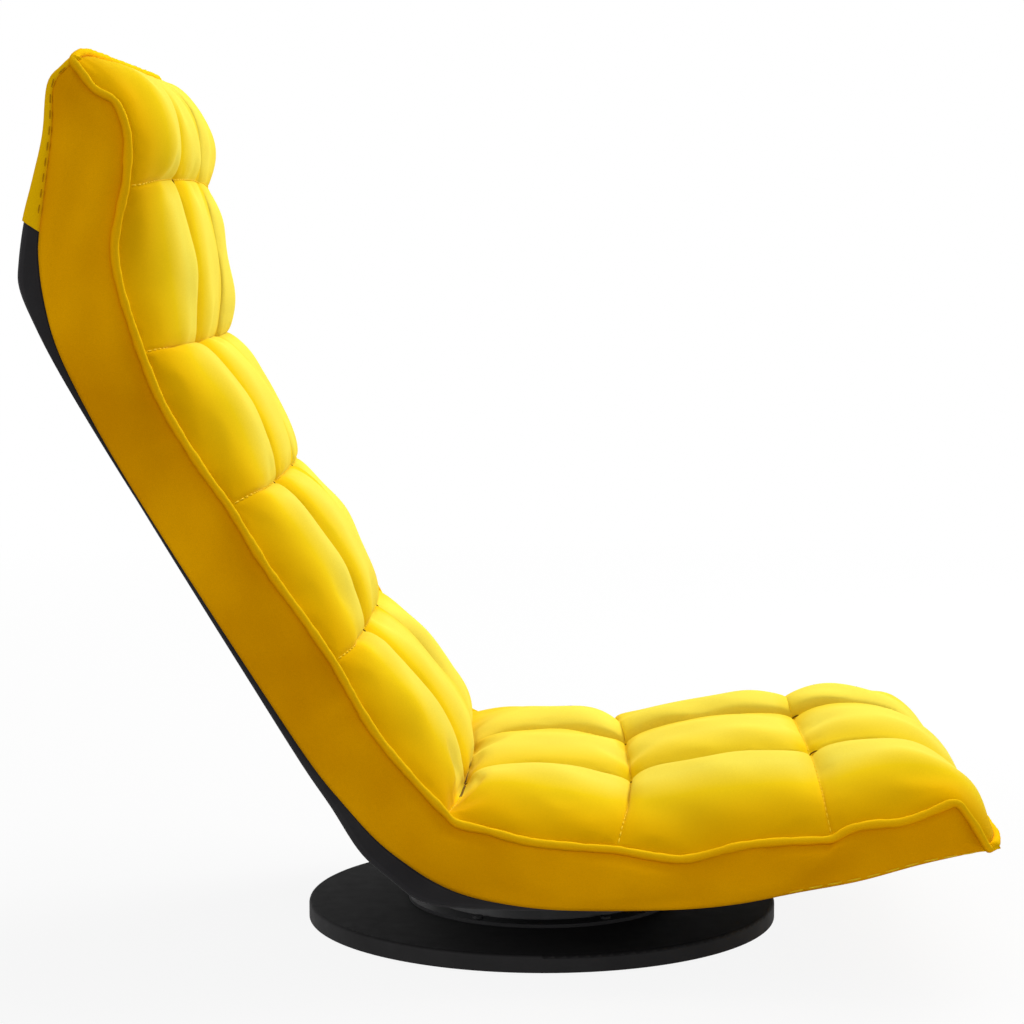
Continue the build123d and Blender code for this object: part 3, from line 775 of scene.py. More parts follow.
@dataclass(frozen=True)
class Finishes:
    """Every finish of the chair, made once."""

    # Quilt velvet: deep colour as painted shade beside the piping and seams, light colour as painted
    # highlight over the crowns
    quilt: Material = field(default_factory=Velvet(
        "quilt_velvet", light=(0.88, 0.74, 0.090), deep=(0.75, 0.40, 0.0006), sheen=0.14,
        middle=(0.85, 0.60, 0.009), sheen_colour=(1.0, 0.98, 0.30)).build)
    # Boxing velvet: a deeper, more orange copy of the velvet, painted shade on the upright band
    boxing: Material = field(default_factory=Velvet(
        "boxing_velvet_painted_shade", light=(0.965, 0.463, 0.001), deep=(0.75, 0.320, 0.0005), sheen=0.05).build)
    # Piping velvet: painted highlight on the cord's upper side, painted shade on its underside
    piping: Material = field(default_factory=Velvet(
        "piping_velvet", light=(0.97, 0.59, 0.006), deep=(0.50, 0.22, 0.0003), sheen=0.08,
        middle=(0.95, 0.47, 0.001)).build)
    # Flap velvet: a paler copy of the velvet, painted light on the flaps
    flap: Material = field(default_factory=Velvet(
        "flap_velvet_painted_light", light=(1.0, 0.60, 0.003), deep=(0.93, 0.53, 0.0015), sheen=0.14).build)
    thread: Material = field(default_factory=SewingThread(
        "yellow_thread", light=(0.93, 0.64, 0.020), deep=(0.86, 0.54, 0.010)).build)
    # Dark thread for the tuft ticks and the crease line: painted shade in the pinches, painted shadow in the
    # crease
    dark_shade_thread: Material = field(default_factory=SewingThread(
        "tuft_and_crease_shade_thread", light=(0.22, 0.12, 0.003), deep=(0.10, 0.055, 0.002)).build)
    flap_thread: Material = field(default_factory=SewingThread(
        "flap_thread", light=(0.60, 0.300, 0.001), deep=(0.48, 0.235, 0.001)).build)
    cloth: Material = field(default_factory=CoverCloth().build)
    board: Material = field(default_factory=PaintedBoard().build)
    rubber: Material = field(default_factory=Rubber().build)
    black_steel: Material = field(default_factory=Steel(
        "black_coated_steel", light=(0.012, 0.012, 0.013), deep=(0.006, 0.006, 0.007), metallic=0.0,
        smooth=0.42, rough=0.58, orange_peel=0.14).build)
    zinc: Material = field(default_factory=Steel(
        "zinc_plated_steel", light=(0.62, 0.62, 0.60), deep=(0.42, 0.43, 0.44), metallic=1.0,
        smooth=0.26, rough=0.46, orange_peel=0.06).build)
    webbing: Material = field(default_factory=ElasticWebbing().build)


# The chair's outline, seen from its side, in mm with X forward and Z up


@dataclass(frozen=True)
class PillowRow:
    """One row of three pillows, from its upper or rear seam to the next one.

    Its rises in mm and crests as shares of the row are those of the right, middle and left pillow.
    """

    name: str
    side: tuple[Pair, ...]
    start: Pair
    end: Pair
    arch: float
    rises: tuple[float, float, float]
    crests: tuple[float, float, float]
    steepness: float = 0.60
    bow: float = 0.6

    def side_at(self, shares: np.ndarray) -> np.ndarray:
        """Give the piping line beside the row."""
        return SmoothLine(self.side).at(shares)

    def middle_at(self, shares: np.ndarray) -> np.ndarray:
        """Give the arched line between the row's two seams, along a column seam.

        Args:
            shares: places on the way, from 0 to 1.

        Returns:
            A point for each, as X and Z.
        """
        first, last = np.array(self.start), np.array(self.end)
        ahead = unit(last - first)
        outward = np.array([-ahead[1], ahead[0]])
        bow = self.arch * (4 * shares * (1 - shares)) ** self.bow
        return first + (last - first) * shares[:, None] + outward * bow[:, None]


ROWS = (
    PillowRow("head", side=((-371, 750), (-363, 740), (-354, 728), (-342, 722), (-336, 716.5), (-329, 697),
                            (-328, 680), (-330, 653)),
              start=(-366, 758.5), end=(-315.5, 659.5), arch=13.0,
              rises=(22.0, 16.0, 14.0), crests=(0.56, 0.53, 0.50), steepness=0.90, bow=1.0),
    PillowRow("neck", side=((-330, 653), (-336, 628), (-340, 602), (-335, 569), (-320, 520)),
              start=(-315.5, 659.5), end=(-304, 517.5), arch=4.0,
              rises=(13.6, 13.2, 17.0), crests=(0.61, 0.58, 0.60)),
    PillowRow("shoulder", side=((-320, 520), (-303, 478), (-275, 431), (-251, 397)),
              start=(-304, 517.5), end=(-231.8, 400.7), arch=4.0,
              rises=(24.7, 23.0, 15.8), crests=(0.46, 0.46, 0.48)),
    PillowRow("middle", side=((-251, 397), (-221, 347), (-191, 305), (-168, 271)),
              start=(-231.8, 400.7), end=(-154.8, 272.7), arch=4.0,
              rises=(17.8, 21.5, 12.3), crests=(0.50, 0.50, 0.60)),
    PillowRow("lumbar", side=((-168, 271), (-137, 216), (-104, 175), (-77, 146)),
              start=(-154.8, 272.7), end=(-66, 138), arch=4.0,
              rises=(20.0, 21.8, 20.5), crests=(0.47, 0.63, 0.58)),
    PillowRow("seat_rear", side=((-77, 146), (-69, 138.5), (-45, 133), (-12, 124), (24, 120), (61, 117.3)),
              start=(-66, 138), end=(78, 138), arch=5.0,
              rises=(21.4, 19.0, 26.0), crests=(0.32, 0.44, 0.51), steepness=0.66),
    PillowRow("seat_middle", side=((61, 117.3), (96, 111), (120, 110), (158, 120), (190, 124), (236, 126)),
              start=(78, 138), end=(233, 163), arch=5.0,
              rises=(16.0, 20.2, 26.6), crests=(0.36, 0.46, 0.25)),
    PillowRow("seat_front", side=((236, 126), (250, 135), (270, 139), (290, 140.3), (310, 147), (333, 157.3),
                                  (337, 156.3), (343, 148.5), (351, 137), (362, 117.5)),
              start=(233, 163), end=(374, 121), arch=27.0,
              rises=(15.0, 17.0, 15.6), crests=(0.60, 0.55, 0.48), steepness=0.85, bow=0.8),
)
# How far each cross seam rises between two tufts, in mm, on the right, middle and left pillows
SEAM_LIFTS = ((0.0, 0.0, 0.0), (2.0, 5.0, 3.0), (6.0, 5.5, 6.0), (2.0, 3.0, 3.0), (1.0, 2.0, -4.5),
              (0.0, 0.0, -4.5), (3.0, 5.0, 10.0), (2.0, 4.0, 17.5), (0.0, 0.0, 0.0))
# How high each cross seam is beside the left piping, where it has faded out, in mm
FAR_SEAMS = (0.0, 2.5, 3.3, 1.5, -5.0, -5.0, 6.5, 6.0, 0.0)
# The cross seam between back and seat, counted from the head's top edge
DEEP_SEAM = 5
# Pillows in a row
COLUMNS = 3

# Rim and outer face of the shell, as rim X, rim Z, face X, face Z
SHELL_LINE = (
    (-365, 753, -370, 755),
    (-375, 746, -380, 746),
    (-387, 731, -391, 732),
    (-389, 698, -396, 692),
    (-394, 660, -404, 659),
    (-400, 616, -413, 625),
    (-401, 596, -418, 592),
    (-398, 566, -418, 572),
    (-389, 528, -408, 546),
    (-371, 487, -388, 506),
    (-342, 433, -352, 444),
    (-294, 354, -298, 355),
    (-232, 256, -238, 256),
    (-187, 187, -196, 187),
    (-160, 153, -172, 151),
    (-135, 125, -148, 113),
    (-112, 106, -123, 90),
    (-86, 89, -98, 72),
    (-56, 77, -60, 66.2),
    (-9, 70, -9, 65.4),
    (60, 70, 60, 66.3),
    (112, 73, 112, 68.6),
    (161, 78, 161, 73.5),
    (210, 87, 210, 83),
    (258, 97, 258, 92.5),
    (307, 110, 307, 106),
    (350, 119, 351, 115.5),
    (362, 120.5, 363, 117),
    (370, 123, 372.5, 119),
)
# Points of the shell's line where the flaps end and begin, at the hinge, and where the boxing leaves the rim
HEAD_FLAP_KNOT = 5
HINGE_KNOT = 16
UNDERSIDE_KNOT = 18
FRONT_FLAP_KNOT = 24
# The shell's line runs through two places at once, so it is longer than each of their own lines
TWO_LINES = math.sqrt(2)
# Lower edge of the boxing, which follows the shell's rim down the back
BOXING_FOOT = (
    *(station[:2] for station in SHELL_LINE[:UNDERSIDE_KNOT]),
    (-56, 77),
    (-9, 68.5),
    (39, 66),
    (112, 67.3),
    (161, 72.3),
    (210, 82),
    (258, 91.3),
    (307, 105),
    (352, 115.5),
    (360, 117.5),
)


def seam_shares(cells: int, crowd: float = 0.5) -> np.ndarray:
    """Space points from one seam to the next, closer together near the seams.

    Args:
        cells: how many spaces.
        crowd: how much closer, from 0 to 1.

    Returns:
        Shares from 0 to 1.
    """
    even = np.linspace(0, 1, cells + 1)
    return even - crowd * np.sin(math.tau * even) / math.tau


def crown(shares: np.ndarray, crest: float, power: float) -> np.ndarray:
    """Give a pillow's height between two seams.

    Args:
        shares: places from 0 to 1.
        crest: where its highest place is.
        power: below 1 for steep sides and a flat top.

    Returns:
        Heights from 0 to 1.
    """
    moved = np.clip(shares, 0, 1) ** (math.log(0.5) / math.log(crest))
    return (4 * moved * (1 - moved)) ** power


# Dressed pieces


@dataclass(frozen=True)
class Stuffing:
    """How the filling swells a sewn cover between its seams, by at most the cap in mm."""

    pressure: float = 2.2
    frames: int = 14
    cap: float = 5.0
    spare: float = 0.004
    quality: int = 6
    mass: float = 0.2
    tension: float = 14.0
    shear: float = 6.0
    bending: float = 4.0

    def swell(self, piece: Piece, held: np.ndarray) -> None:
        """Swell a cover by cloth simulation, and keep the result as its mesh.

        Args:
            piece: the open cover.
            held: numbers of the points that the seams hold still.
        """
        before = points_of(piece.data)
        seams = piece.vertex_groups.new(name="seams")
        seams.add(held.tolist(), 1.0, "REPLACE")
        cloth = piece.modifiers.new("swell", "CLOTH")
        rules = cloth.settings
        rules.quality = self.quality
        rules.mass = self.mass
        rules.tension_stiffness = rules.compression_stiffness = self.tension
        rules.shear_stiffness = self.shear
        rules.bending_stiffness = self.bending
        rules.vertex_group_mass = seams.name
        rules.use_pressure = True
        rules.uniform_pressure_force = self.pressure
        rules.shrink_min = -self.spare
        rules.effector_weights.gravity = 0.0
        cloth.point_cache.frame_start = 1
        cloth.point_cache.frame_end = self.frames
        for step in range(1, self.frames + 1):
            bpy.context.scene.frame_set(step)
        graph = bpy.context.evaluated_depsgraph_get()
        move = points_of(piece.evaluated_get(graph).data) - before
        reach = np.linalg.norm(move, axis=1, keepdims=True)
        move *= np.minimum(1.0, self.cap * MM / np.maximum(reach, TINY))
        LOG.info("swell of %s: mean %.2f mm, most %.2f mm", piece.name, reach.mean() / MM, reach.max() / MM)
        piece.modifiers.clear()
        piece.vertex_groups.clear()
        bpy.context.scene.frame_set(1)
        piece.data.vertices.foreach_set("co", (before + move).ravel())
        piece.data.update()


@dataclass(frozen=True)
class PaintedLightMap:
    """Where light and shade are painted on the pillows' velvet: from 0, painted shade beside the piping and
    the seams, to 1, painted highlight over the crowns.

    Reaches are shares of a pillow's width, apart from the one in mm from a cross seam.
    """

    outer_reach: float = 0.66
    outer_power: float = 1.40
    left_least: float = 0.62
    column_least: float = 0.88
    column_reach: float = 0.14
    back_least: float = 0.36
    seat_least: float = 0.60
    inner_start: float = 0.14
    inner_reach: float = 0.58
    cross_least: float = 0.72
    cross_reach: float = 16.0


def carry(piece: Piece) -> Piece:
    """Bake a piece's placement into its mesh, and log how many points it has.

    Args:
        piece: the piece.

    Returns:
        The same piece.
    """
    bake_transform(piece)
    LOG.info("%s: %d points", piece.name, len(piece.data.vertices))
    return piece


@dataclass
class QuiltCover:
    """The tufted cover: three columns of pillows, five rows up the back and three along the seat.

    Lengths are in mm, and the fade, the opening and crests are shares of a pillow. Its grid's first line is
    the head's top edge, and its first column is the right piping.
    """

    rows: tuple[PillowRow, ...] = ROWS
    stuffing: Stuffing = Stuffing()
    painted_light_map: PaintedLightMap = PaintedLightMap()
    column_seam: float = 84.0
    half_width: float = 251.5
    cells_along: int = 30
    cells_across: int = 34
    shoulder: float = 1.8
    end_shoulder: float = 9.0
    outer_crest: float = 0.35
    column_steepness: float = 0.38
    uneven_rise: Pair = (0.98, 1.02)
    started: float = 0.94
    fade_start: float = 0.36
    fade_end: float = 0.95
    near_fade: float = 0.45
    pinned_until: float = 0.08
    open_until: Pair = (0.20, 0.75)
    dent: float = 1.1
    dent_waves: Pair = (45.0, 110.0)
    dent_rise: float = 12.0
    pucker: float = 0.5
    pucker_pitch: float = 17.0
    pucker_start: float = 4.0
    pucker_reach: float = 13.0
    pucker_wander: float = 2.6
    wander_waves: Pair = (50.0, 120.0)
    tug_waves: Pair = (120.0, 300.0)
    seam_groove: float = 1.4
    groove_reach: float = 1.8
    groove_clear: float = 6.0
    tuft_depth: float = 3.0
    tuft_reach: float = 9.0
    crease_depth: float = 3.0
    crease_reach: float = 4.0
    crease_ends: Pair = (32.0, 162.0)
    lining_depth: float = 8.5
    lining_turn: int = 4
    base: np.ndarray = field(init=False)
    normal: np.ndarray = field(init=False)
    across: np.ndarray = field(init=False)
    top: np.ndarray = field(init=False)

    def __post_init__(self) -> None:
        """Lay out the seams, and the pillows that rise between them."""
        columns = seam_shares(self.cells_across)
        edges = (-self.half_width, -self.column_seam, self.column_seam, self.half_width)
        runs = [a + (b - a) * columns[:-1] for a, b in zip(edges, edges[1:])]
        self.across = np.concatenate([*runs, [self.half_width]])
        out = np.clip(self.outward_share(), 0, None)
        shares = seam_shares(self.cells_along)
        blocks, normals = [], []
        for row in self.rows:
            side, middle = row.side_at(shares), row.middle_at(shares)
            to_end = {0: 1 - shares, len(self.rows) - 1: shares}.get(self.rows.index(row), 0 * shares)
            power = self.shoulder + (self.end_shoulder - self.shoulder) * to_end**3
            fall = (out[None, :] ** power[:, None])[..., None]
            flat = side[:, None] * fall + middle[:, None] * (1 - fall)
            points = np.empty((len(shares), len(self.across), 3))
            points[..., 0], points[..., 2] = flat[..., 0], flat[..., 1]
            points[..., 1] = self.across
            blocks.append(points)
            normals.append(unit(np.cross(np.gradient(points, axis=1), np.gradient(points, axis=0))))
        for first, second in zip(normals, normals[1:]):
            shared = unit(first[-1] + second[0])
            first[-1], second[0] = shared, shared
        self.base = np.concatenate([b[:-1] for b in blocks[:-1]] + [blocks[-1]])
        self.normal = np.concatenate([n[:-1] for n in normals[:-1]] + [normals[-1]])
        if self.normal[..., 0].mean() < 0:
            self.normal = -self.normal
        self.top = self.surface()

    @property
    def row_seams(self) -> list[int]:
        """Numbers of the grid lines along which the rows are sewn, ends included."""
        return [k * self.cells_along for k in range(len(self.rows) + 1)]

    @property
    def column_seams(self) -> list[int]:
        """Numbers of the grid columns along which the columns are sewn, ends included."""
        return [k * self.cells_across for k in range(COLUMNS + 1)]

    @property
    def sewn_lines(self) -> np.ndarray:
        """Which grid lines the column seams are sewn at, since they are open at the head's top."""
        return self.head_opening() < 0.5

    def outward_share(self) -> np.ndarray:
        """Give how far out each grid column is, from 0 at a column seam to 1 at the piping."""
        return (np.abs(self.across) - self.column_seam) / (self.half_width - self.column_seam)

    def fade(self) -> np.ndarray:
        """Give how far the cross seams have faded out, from 0 to 1, for every grid column."""
        return ease((self.outward_share() - self.fade_start) / (self.fade_end - self.fade_start))

    def faded_seams(self) -> np.ndarray:
        """Give each cross seam's height where it has faded out, in mm, for the three columns.

        Returns:
            Three heights for each cross seam.
        """
        rises = np.array([row.rises for row in self.rows])
        level = np.zeros((len(self.rows) + 1, COLUMNS))
        level[1:-1] = self.near_fade * (rises[:-1] + rises[1:])
        level[DEEP_SEAM] = 0.0
        level[:, 2] = FAR_SEAMS
        return level

    def head_opening(self) -> np.ndarray:
        """Give how far the column seams are open at the head, from 1 at its top to 0, for every grid line.

        Returns:
            A share for each grid line.
        """
        first, last = self.open_until
        shares = seam_shares(self.cells_along)
        opening = np.zeros(len(self.base))
        opening[:len(shares)] = 1 - ease((shares - first) / (last - first))
        return opening

    def heights(self) -> np.ndarray:
        """Give the pillows' heights over the seams, in mm.

        Returns:
            A height for each point of the grid.
        """
        along, across = seam_shares(self.cells_along)[:, None], seam_shares(self.cells_across)
        crests = (1 - self.outer_crest, 0.5, self.outer_crest)
        crest_line = self.column_seam + self.outer_crest * (self.half_width - self.column_seam)
        lift = np.zeros(self.base.shape[:2])
        fade, level, opening = self.fade(), self.faded_seams(), self.head_opening()
        draw = np.random.default_rng(SEED)
        for r, row in enumerate(self.rows):
            pinched, faded = [], []
            for c in range(len(crests)):
                dome = crown(along, row.crests[c], row.steepness)
                rise = row.rises[c] * draw.uniform(*self.uneven_rise)
                first, last = SEAM_LIFTS[r][c], SEAM_LIFTS[r + 1][c]
                wide = level[r, c] + (level[r + 1, c] - level[r, c]) * along
                pinched.append(first + (last - first) * along + (rise - (first + last) / 2) * dome)
                faded.append(wide + (rise - wide) * dome)
            for c, crest in enumerate(crests):
                i, j = r * self.cells_along, c * self.cells_across
                side = self.across[j:j + len(across)]
                span, out = crown(across, crest, self.column_steepness), fade[j:j + len(across)]
                bulge = (pinched[c] * (1 - out) + faded[c] * out) * span
                share = np.clip(np.abs(side) / crest_line, 0, 1)
                smooth = pinched[1] * (1 - share) + np.where(side < 0, pinched[0], pinched[2]) * share
                smooth = smooth * np.where(np.abs(side) > crest_line, span, 1.0)
                undone = opening[i:i + len(along), None]
                lift[i:i + len(along), j:j + len(across)] = bulge * (1 - undone) + smooth * undone
        return lift

    def seam_distance(self, axis: int) -> np.ndarray:
        """Give each point's distance in mm from the nearest seam across one of the grid's axes.

        Args:
            axis: 0 for the cross seams, 1 for the column seams.

        Returns:
            A distance for each point of the grid.
        """
        seams = self.row_seams if axis == 0 else self.column_seams
        gaps = [np.linalg.norm(self.base - np.take(self.base, [seam], axis), axis=-1) for seam in seams]
        return np.min(gaps, axis=0)

    def surface(self) -> np.ndarray:
        """Give the cover's points with its pillows, soft dents and puckers.

        Returns:
            A grid of points, along the cover and across it.
        """
        lift = self.heights()
        middle = self.base[:, len(self.across) // 2]
        from_corner = travel(np.vstack([self.base[:1, 0], middle]))[1:]
        u, v = np.meshgrid(from_corner, self.across, indexing="ij")
        soft = np.clip(lift / self.dent_rise, 0, 1)
        lift = lift * self.started + soft * (self.dent * Ripple(SEED + 1, *self.dent_waves).at(u, v))
        by_row, by_column = self.seam_distance(0), self.seam_distance(1)
        for gap, along, seed in ((by_row, v, SEED + 2), (by_column, u, SEED + 3)):
            tug = np.clip(Ripple(seed, *self.tug_waves).at(u, v), 0, 1)
            wander = self.pucker_wander * Ripple(seed + 4, *self.wander_waves).at(u, v)
            wave = np.cos(math.tau * along / self.pucker_pitch + wander)
            reach = np.exp(-gap / self.pucker_reach) * (1 - np.exp(-gap / self.pucker_start))
            lift += self.pucker * tug * wave * reach
        groove = self.seam_groove * np.exp(-((by_row / self.groove_reach) ** 2))
        lift -= groove * np.clip(by_column / self.groove_clear, 0, 1)
        points = self.base + self.normal * lift[..., None]
        for i in self.row_seams[1:-1]:
            for j in self.column_seams[1:-1]:
                away = np.linalg.norm(self.base - self.base[i, j], axis=-1)
                points -= self.normal * (self.tuft_depth * np.exp(-(away / self.tuft_reach) ** 2))[..., None]
        from_crease = np.linalg.norm(self.base - self.base[self.row_seams[DEEP_SEAM]], axis=-1)
        crease = self.crease_depth * np.exp(-((from_crease / self.crease_reach) ** 2)) * self.crease()
        return points - self.normal * crease[..., None]

    def crease(self) -> np.ndarray:
        """Give how deep the crease between back and seat is, from 0 to 1, for every grid column.

        Returns:
            A share of its depth for each grid column.
        """
        side = np.abs(self.across)
        inner, outer = self.crease_ends
        reach = np.where(side < self.column_seam, (side - inner) / (self.column_seam - inner),
                         (outer - side) / (outer - self.column_seam))
        return np.sqrt(np.clip(reach, 0, 1))

    def painted_light(self) -> np.ndarray:
        """Give the painted light on the pillows, from 0, painted shade beside the piping and along the cross
        seams, to 1, painted highlight over the crowns.

        Returns:
            A value for each point of the grid.
        """
        painted_light_map, out = self.painted_light_map, self.outward_share()
        outer = np.clip(1 - out, 0, 1)
        inner = np.clip((self.column_seam - np.abs(self.across)) / self.column_seam, 0, 1)
        drawn = np.clip(outer / painted_light_map.outer_reach, 0, 1) ** painted_light_map.outer_power
        drawn = np.where(self.across > 0, from_least(painted_light_map.left_least, drawn), drawn)
        pulled = drawn * from_least(painted_light_map.column_least, (1 - outer) / painted_light_map.column_reach)
        on_seat = np.arange(len(self.base))[:, None] > self.row_seams[DEEP_SEAM]
        least = np.where(on_seat, painted_light_map.seat_least, painted_light_map.back_least)
        level = from_least(least, (inner - painted_light_map.inner_start) / painted_light_map.inner_reach)
        opening = self.head_opening()[:, None]
        sewn = np.where(out > 0, pulled, level) * (1 - opening)
        whole = np.where(out > 0, drawn, 1.0) * opening
        return (sewn + whole) * from_least(painted_light_map.cross_least, self.seam_distance(0) / painted_light_map.cross_reach)

    def held_points(self, number: np.ndarray) -> np.ndarray:
        """List the points that seams and edges hold still while the filling swells.

        Args:
            number: the numbers of the grid's points.

        Returns:
            The held points' numbers.
        """
        pinned = number[:, self.fade() < self.pinned_until][self.row_seams]
        ends = number[[0, self.row_seams[DEEP_SEAM], -1]]
        edges = number[:, [0, -1]]
        sewn = number[self.sewn_lines][:, self.column_seams]
        return np.unique(np.concatenate([part.ravel() for part in (pinned, ends, edges, sewn)]))

    def lining(self) -> np.ndarray:
        """Give the points of the lining under the cover, which meets it all round.

        Returns:
            A grid of points, along the cover and across it.
        """
        rows, columns = self.base.shape[:2]
        inset = np.minimum.outer(np.minimum(np.arange(rows), np.arange(rows)[::-1]),
                                 np.minimum(np.arange(columns), np.arange(columns)[::-1]))
        depth = self.lining_depth * np.clip(inset / self.lining_turn, 0, 1)
        return self.base - self.normal * depth[..., None]

    def build(self, finish: Material) -> Piece:
        """Make the cover, swell it between its seams, and close it with its lining.

        Args:
            finish: the velvet.

        Returns:
            The closed cover.
        """
        rows, columns = self.top.shape[:2]
        number = numbered(rows, columns)
        cover_faces = grid_faces(number, flip=True)
        piece = make_mesh("quilt_cover", self.top, cover_faces, finish)
        self.stuffing.swell(piece, self.held_points(number))
        swollen = points_of(piece.data) / MM
        bpy.data.objects.remove(piece)
        inner = np.zeros((rows, columns), bool)
        inner[1:-1, 1:-1] = True
        below = number.copy()
        below[inner] = rows * columns + np.arange(inner.sum())
        points = np.vstack([swollen, self.lining()[inner]])
        piece = make_mesh("quilt_cover", points, np.vstack([cover_faces, grid_faces(below)]), finish)
        # Painted light and shade on the cover's points, and 0 on the lining's
        set_painted_light(piece, np.concatenate([self.painted_light().ravel(), np.zeros(inner.sum())]))
        piece.modifiers.new("smooth", "SUBSURF").levels = 1
        keep_modifiers(piece)
        self.top = points_of(piece.data)[:rows * columns].reshape(rows, columns, 3) / MM
        return piece

    def dress(self, finish: Material) -> Piece:
        """Build the cover and set it in place of the CAD pillows and foam.

        Args:
            finish: the velvet.

        Returns:
            The cover.
        """
        piece = carry(self.build(finish))
        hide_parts("seat_foam", "back_foam", *(f"seat_pillows_row_{k}" for k in (1, 2, 3)),
                    *(f"back_pillows_row_{k}" for k in (1, 2, 3, 4, 5)))
        return piece

    def side_line(self) -> np.ndarray:
        """Give the piping line, as X and Z, from the head to the front."""
        return self.base[:, 0][:, [0, 2]]

    def seam_lines(self) -> list[tuple[np.ndarray, np.ndarray]]:
        """Give the sewn lines inside the cover, each with the direction away from the cloth.

        Returns:
            The points of each line, with their directions.
        """
        lines = [(self.top[i], self.normal[i]) for i in self.row_seams[1:-1]]
        sewn = self.sewn_lines
        return lines + [(self.top[sewn, j], self.normal[sewn, j]) for j in self.column_seams[1:-1]]

    def crease_shadow_lines(self) -> list[tuple[np.ndarray, np.ndarray]]:
        """Give the lengths of the crease that carry a dark line as painted shadow, each with the direction
        away from the cloth.

        Returns:
            The points of each length, with their directions.
        """
        i, depth = self.row_seams[DEEP_SEAM], self.crease()
        parts = np.split(np.arange(len(depth)), np.flatnonzero(np.diff(depth > 0)) + 1)
        return [(self.top[i, part], self.normal[i, part]) for part in parts if depth[part].max() > 0]

    def tufts(self) -> tuple[np.ndarray, np.ndarray]:
        """Give a place just past each crossing of two seams, and the direction away from the cloth there."""
        picked = np.ix_([seam + 1 for seam in self.row_seams[1:-1]], self.column_seams[1:-1])
        return self.top[picked].reshape(-1, 3), self.normal[picked].reshape(-1, 3)


@dataclass
class Boxing:
    """The velvet band down each side, from the piping to the shell's rim, in mm.

    Its puff swells the whole band, its dents are soft, and its folds hang from the piping.
    """

    quilt: QuiltCover
    half_width: float = 254.4
    cells: int = 16
    thickness: float = 1.2
    foot_start: float = 0.004
    puff: float = 3.4
    puff_power: float = 0.6
    flat_edge: float = 14.0
    dent: float = 3.4
    dent_share: float = 0.7
    dent_waves: Pair = (60.0, 170.0)
    dent_narrowing: float = 1.7
    fold_share: float = 1.1
    fold_pitch: float = 46.0
    fold_reach: float = 20.0
    fold_wander: float = 3.0
    wander_waves: Pair = (120.0, 260.0)
    fold_waves: Pair = (90.0, 220.0)
    top_tuck: float = 1.9
    top_reach: float = 1.6
    welt_tuck: float = 0.9
    welt_place: float = 5.5
    welt_reach: float = 1.5
    foot_tuck: float = 2.2
    foot_reach: float = 2.0

    def band(self) -> tuple[np.ndarray, np.ndarray]:
        """Give the band's upper and lower edge, as X and Z, point against point.

        Returns:
            The upper edge, and the lower one.
        """
        upper = self.quilt.side_line()
        corner = self.quilt.row_seams[DEEP_SEAM]
        line = SmoothLine(BOXING_FOOT)
        hinge = line.share_of(HINGE_KNOT)
        shares = np.empty(len(upper))
        back, seat = slice(0, corner + 1), slice(corner, None)
        for part, first, last in ((back, self.foot_start, hinge), (seat, hinge, 1.0)):
            run = travel(upper[part])
            shares[part] = first + (last - first) * run / run[-1]
        return upper, line.at(shares)

    def points(self, side: Side) -> np.ndarray:
        """Give the points of one side's band.

        Args:
            side: which side.

        Returns:
            A grid of points, along the band and across it.
        """
        upper, lower = self.band()
        shares = np.linspace(0, 1, self.cells + 1)
        flat = upper[:, None] + (lower - upper)[:, None] * shares[None, :, None]
        width = np.linalg.norm(lower - upper, axis=1)
        from_top, from_foot = width[:, None] * shares, width[:, None] * (1 - shares)
        run = np.broadcast_to(travel(upper)[:, None], from_top.shape)
        seed = SEED + 20 + int(side.value)
        body = np.clip(np.minimum(from_top, from_foot) / self.flat_edge, 0, 1)
        wander = self.fold_wander * Ripple(seed, *self.wander_waves).at(run, from_top)
        hung = np.clip(Ripple(seed + 5, *self.fold_waves).at(run, np.zeros_like(run)), 0, 1)
        folds = np.cos(math.tau * run / self.fold_pitch + wander)
        folds *= np.exp(-from_top / self.fold_reach) * hung
        dents = Ripple(seed + 9, *self.dent_waves).at(run, self.dent_narrowing * from_top)
        out = self.half_width + self.puff * np.sin(math.pi * shares)[None] ** self.puff_power * body
        out += self.dent * body * (self.dent_share * dents + self.fold_share * folds)
        welt = self.welt_tuck * np.exp(-((from_top - self.welt_place) / self.welt_reach) ** 2)
        out -= self.top_tuck * np.exp(-from_top / self.top_reach) + welt
        out -= self.foot_tuck * np.exp(-from_foot / self.foot_reach)
        return np.stack([flat[..., 0], side.value * out, flat[..., 1]], axis=-1)

    def dress(self, side: Side, finish: Material) -> Piece:
        """Build one side's band in place of the CAD side panels.

        Args:
            side: which side.
            finish: the velvet.

        Returns:
            The band.
        """
        grid = self.points(side)
        name = side.name.lower()
        faces = grid_faces(numbered(*grid.shape[:2]), flip=side is Side.LEFT)
        piece = make_mesh(f"{name}_boxing", grid, faces, finish)
        thicken(piece, self.thickness)
        carry(piece)
        upper, lower = self.band()
        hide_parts(f"{name}_seat_side_panel", f"{name}_back_side_panel")
        return piece


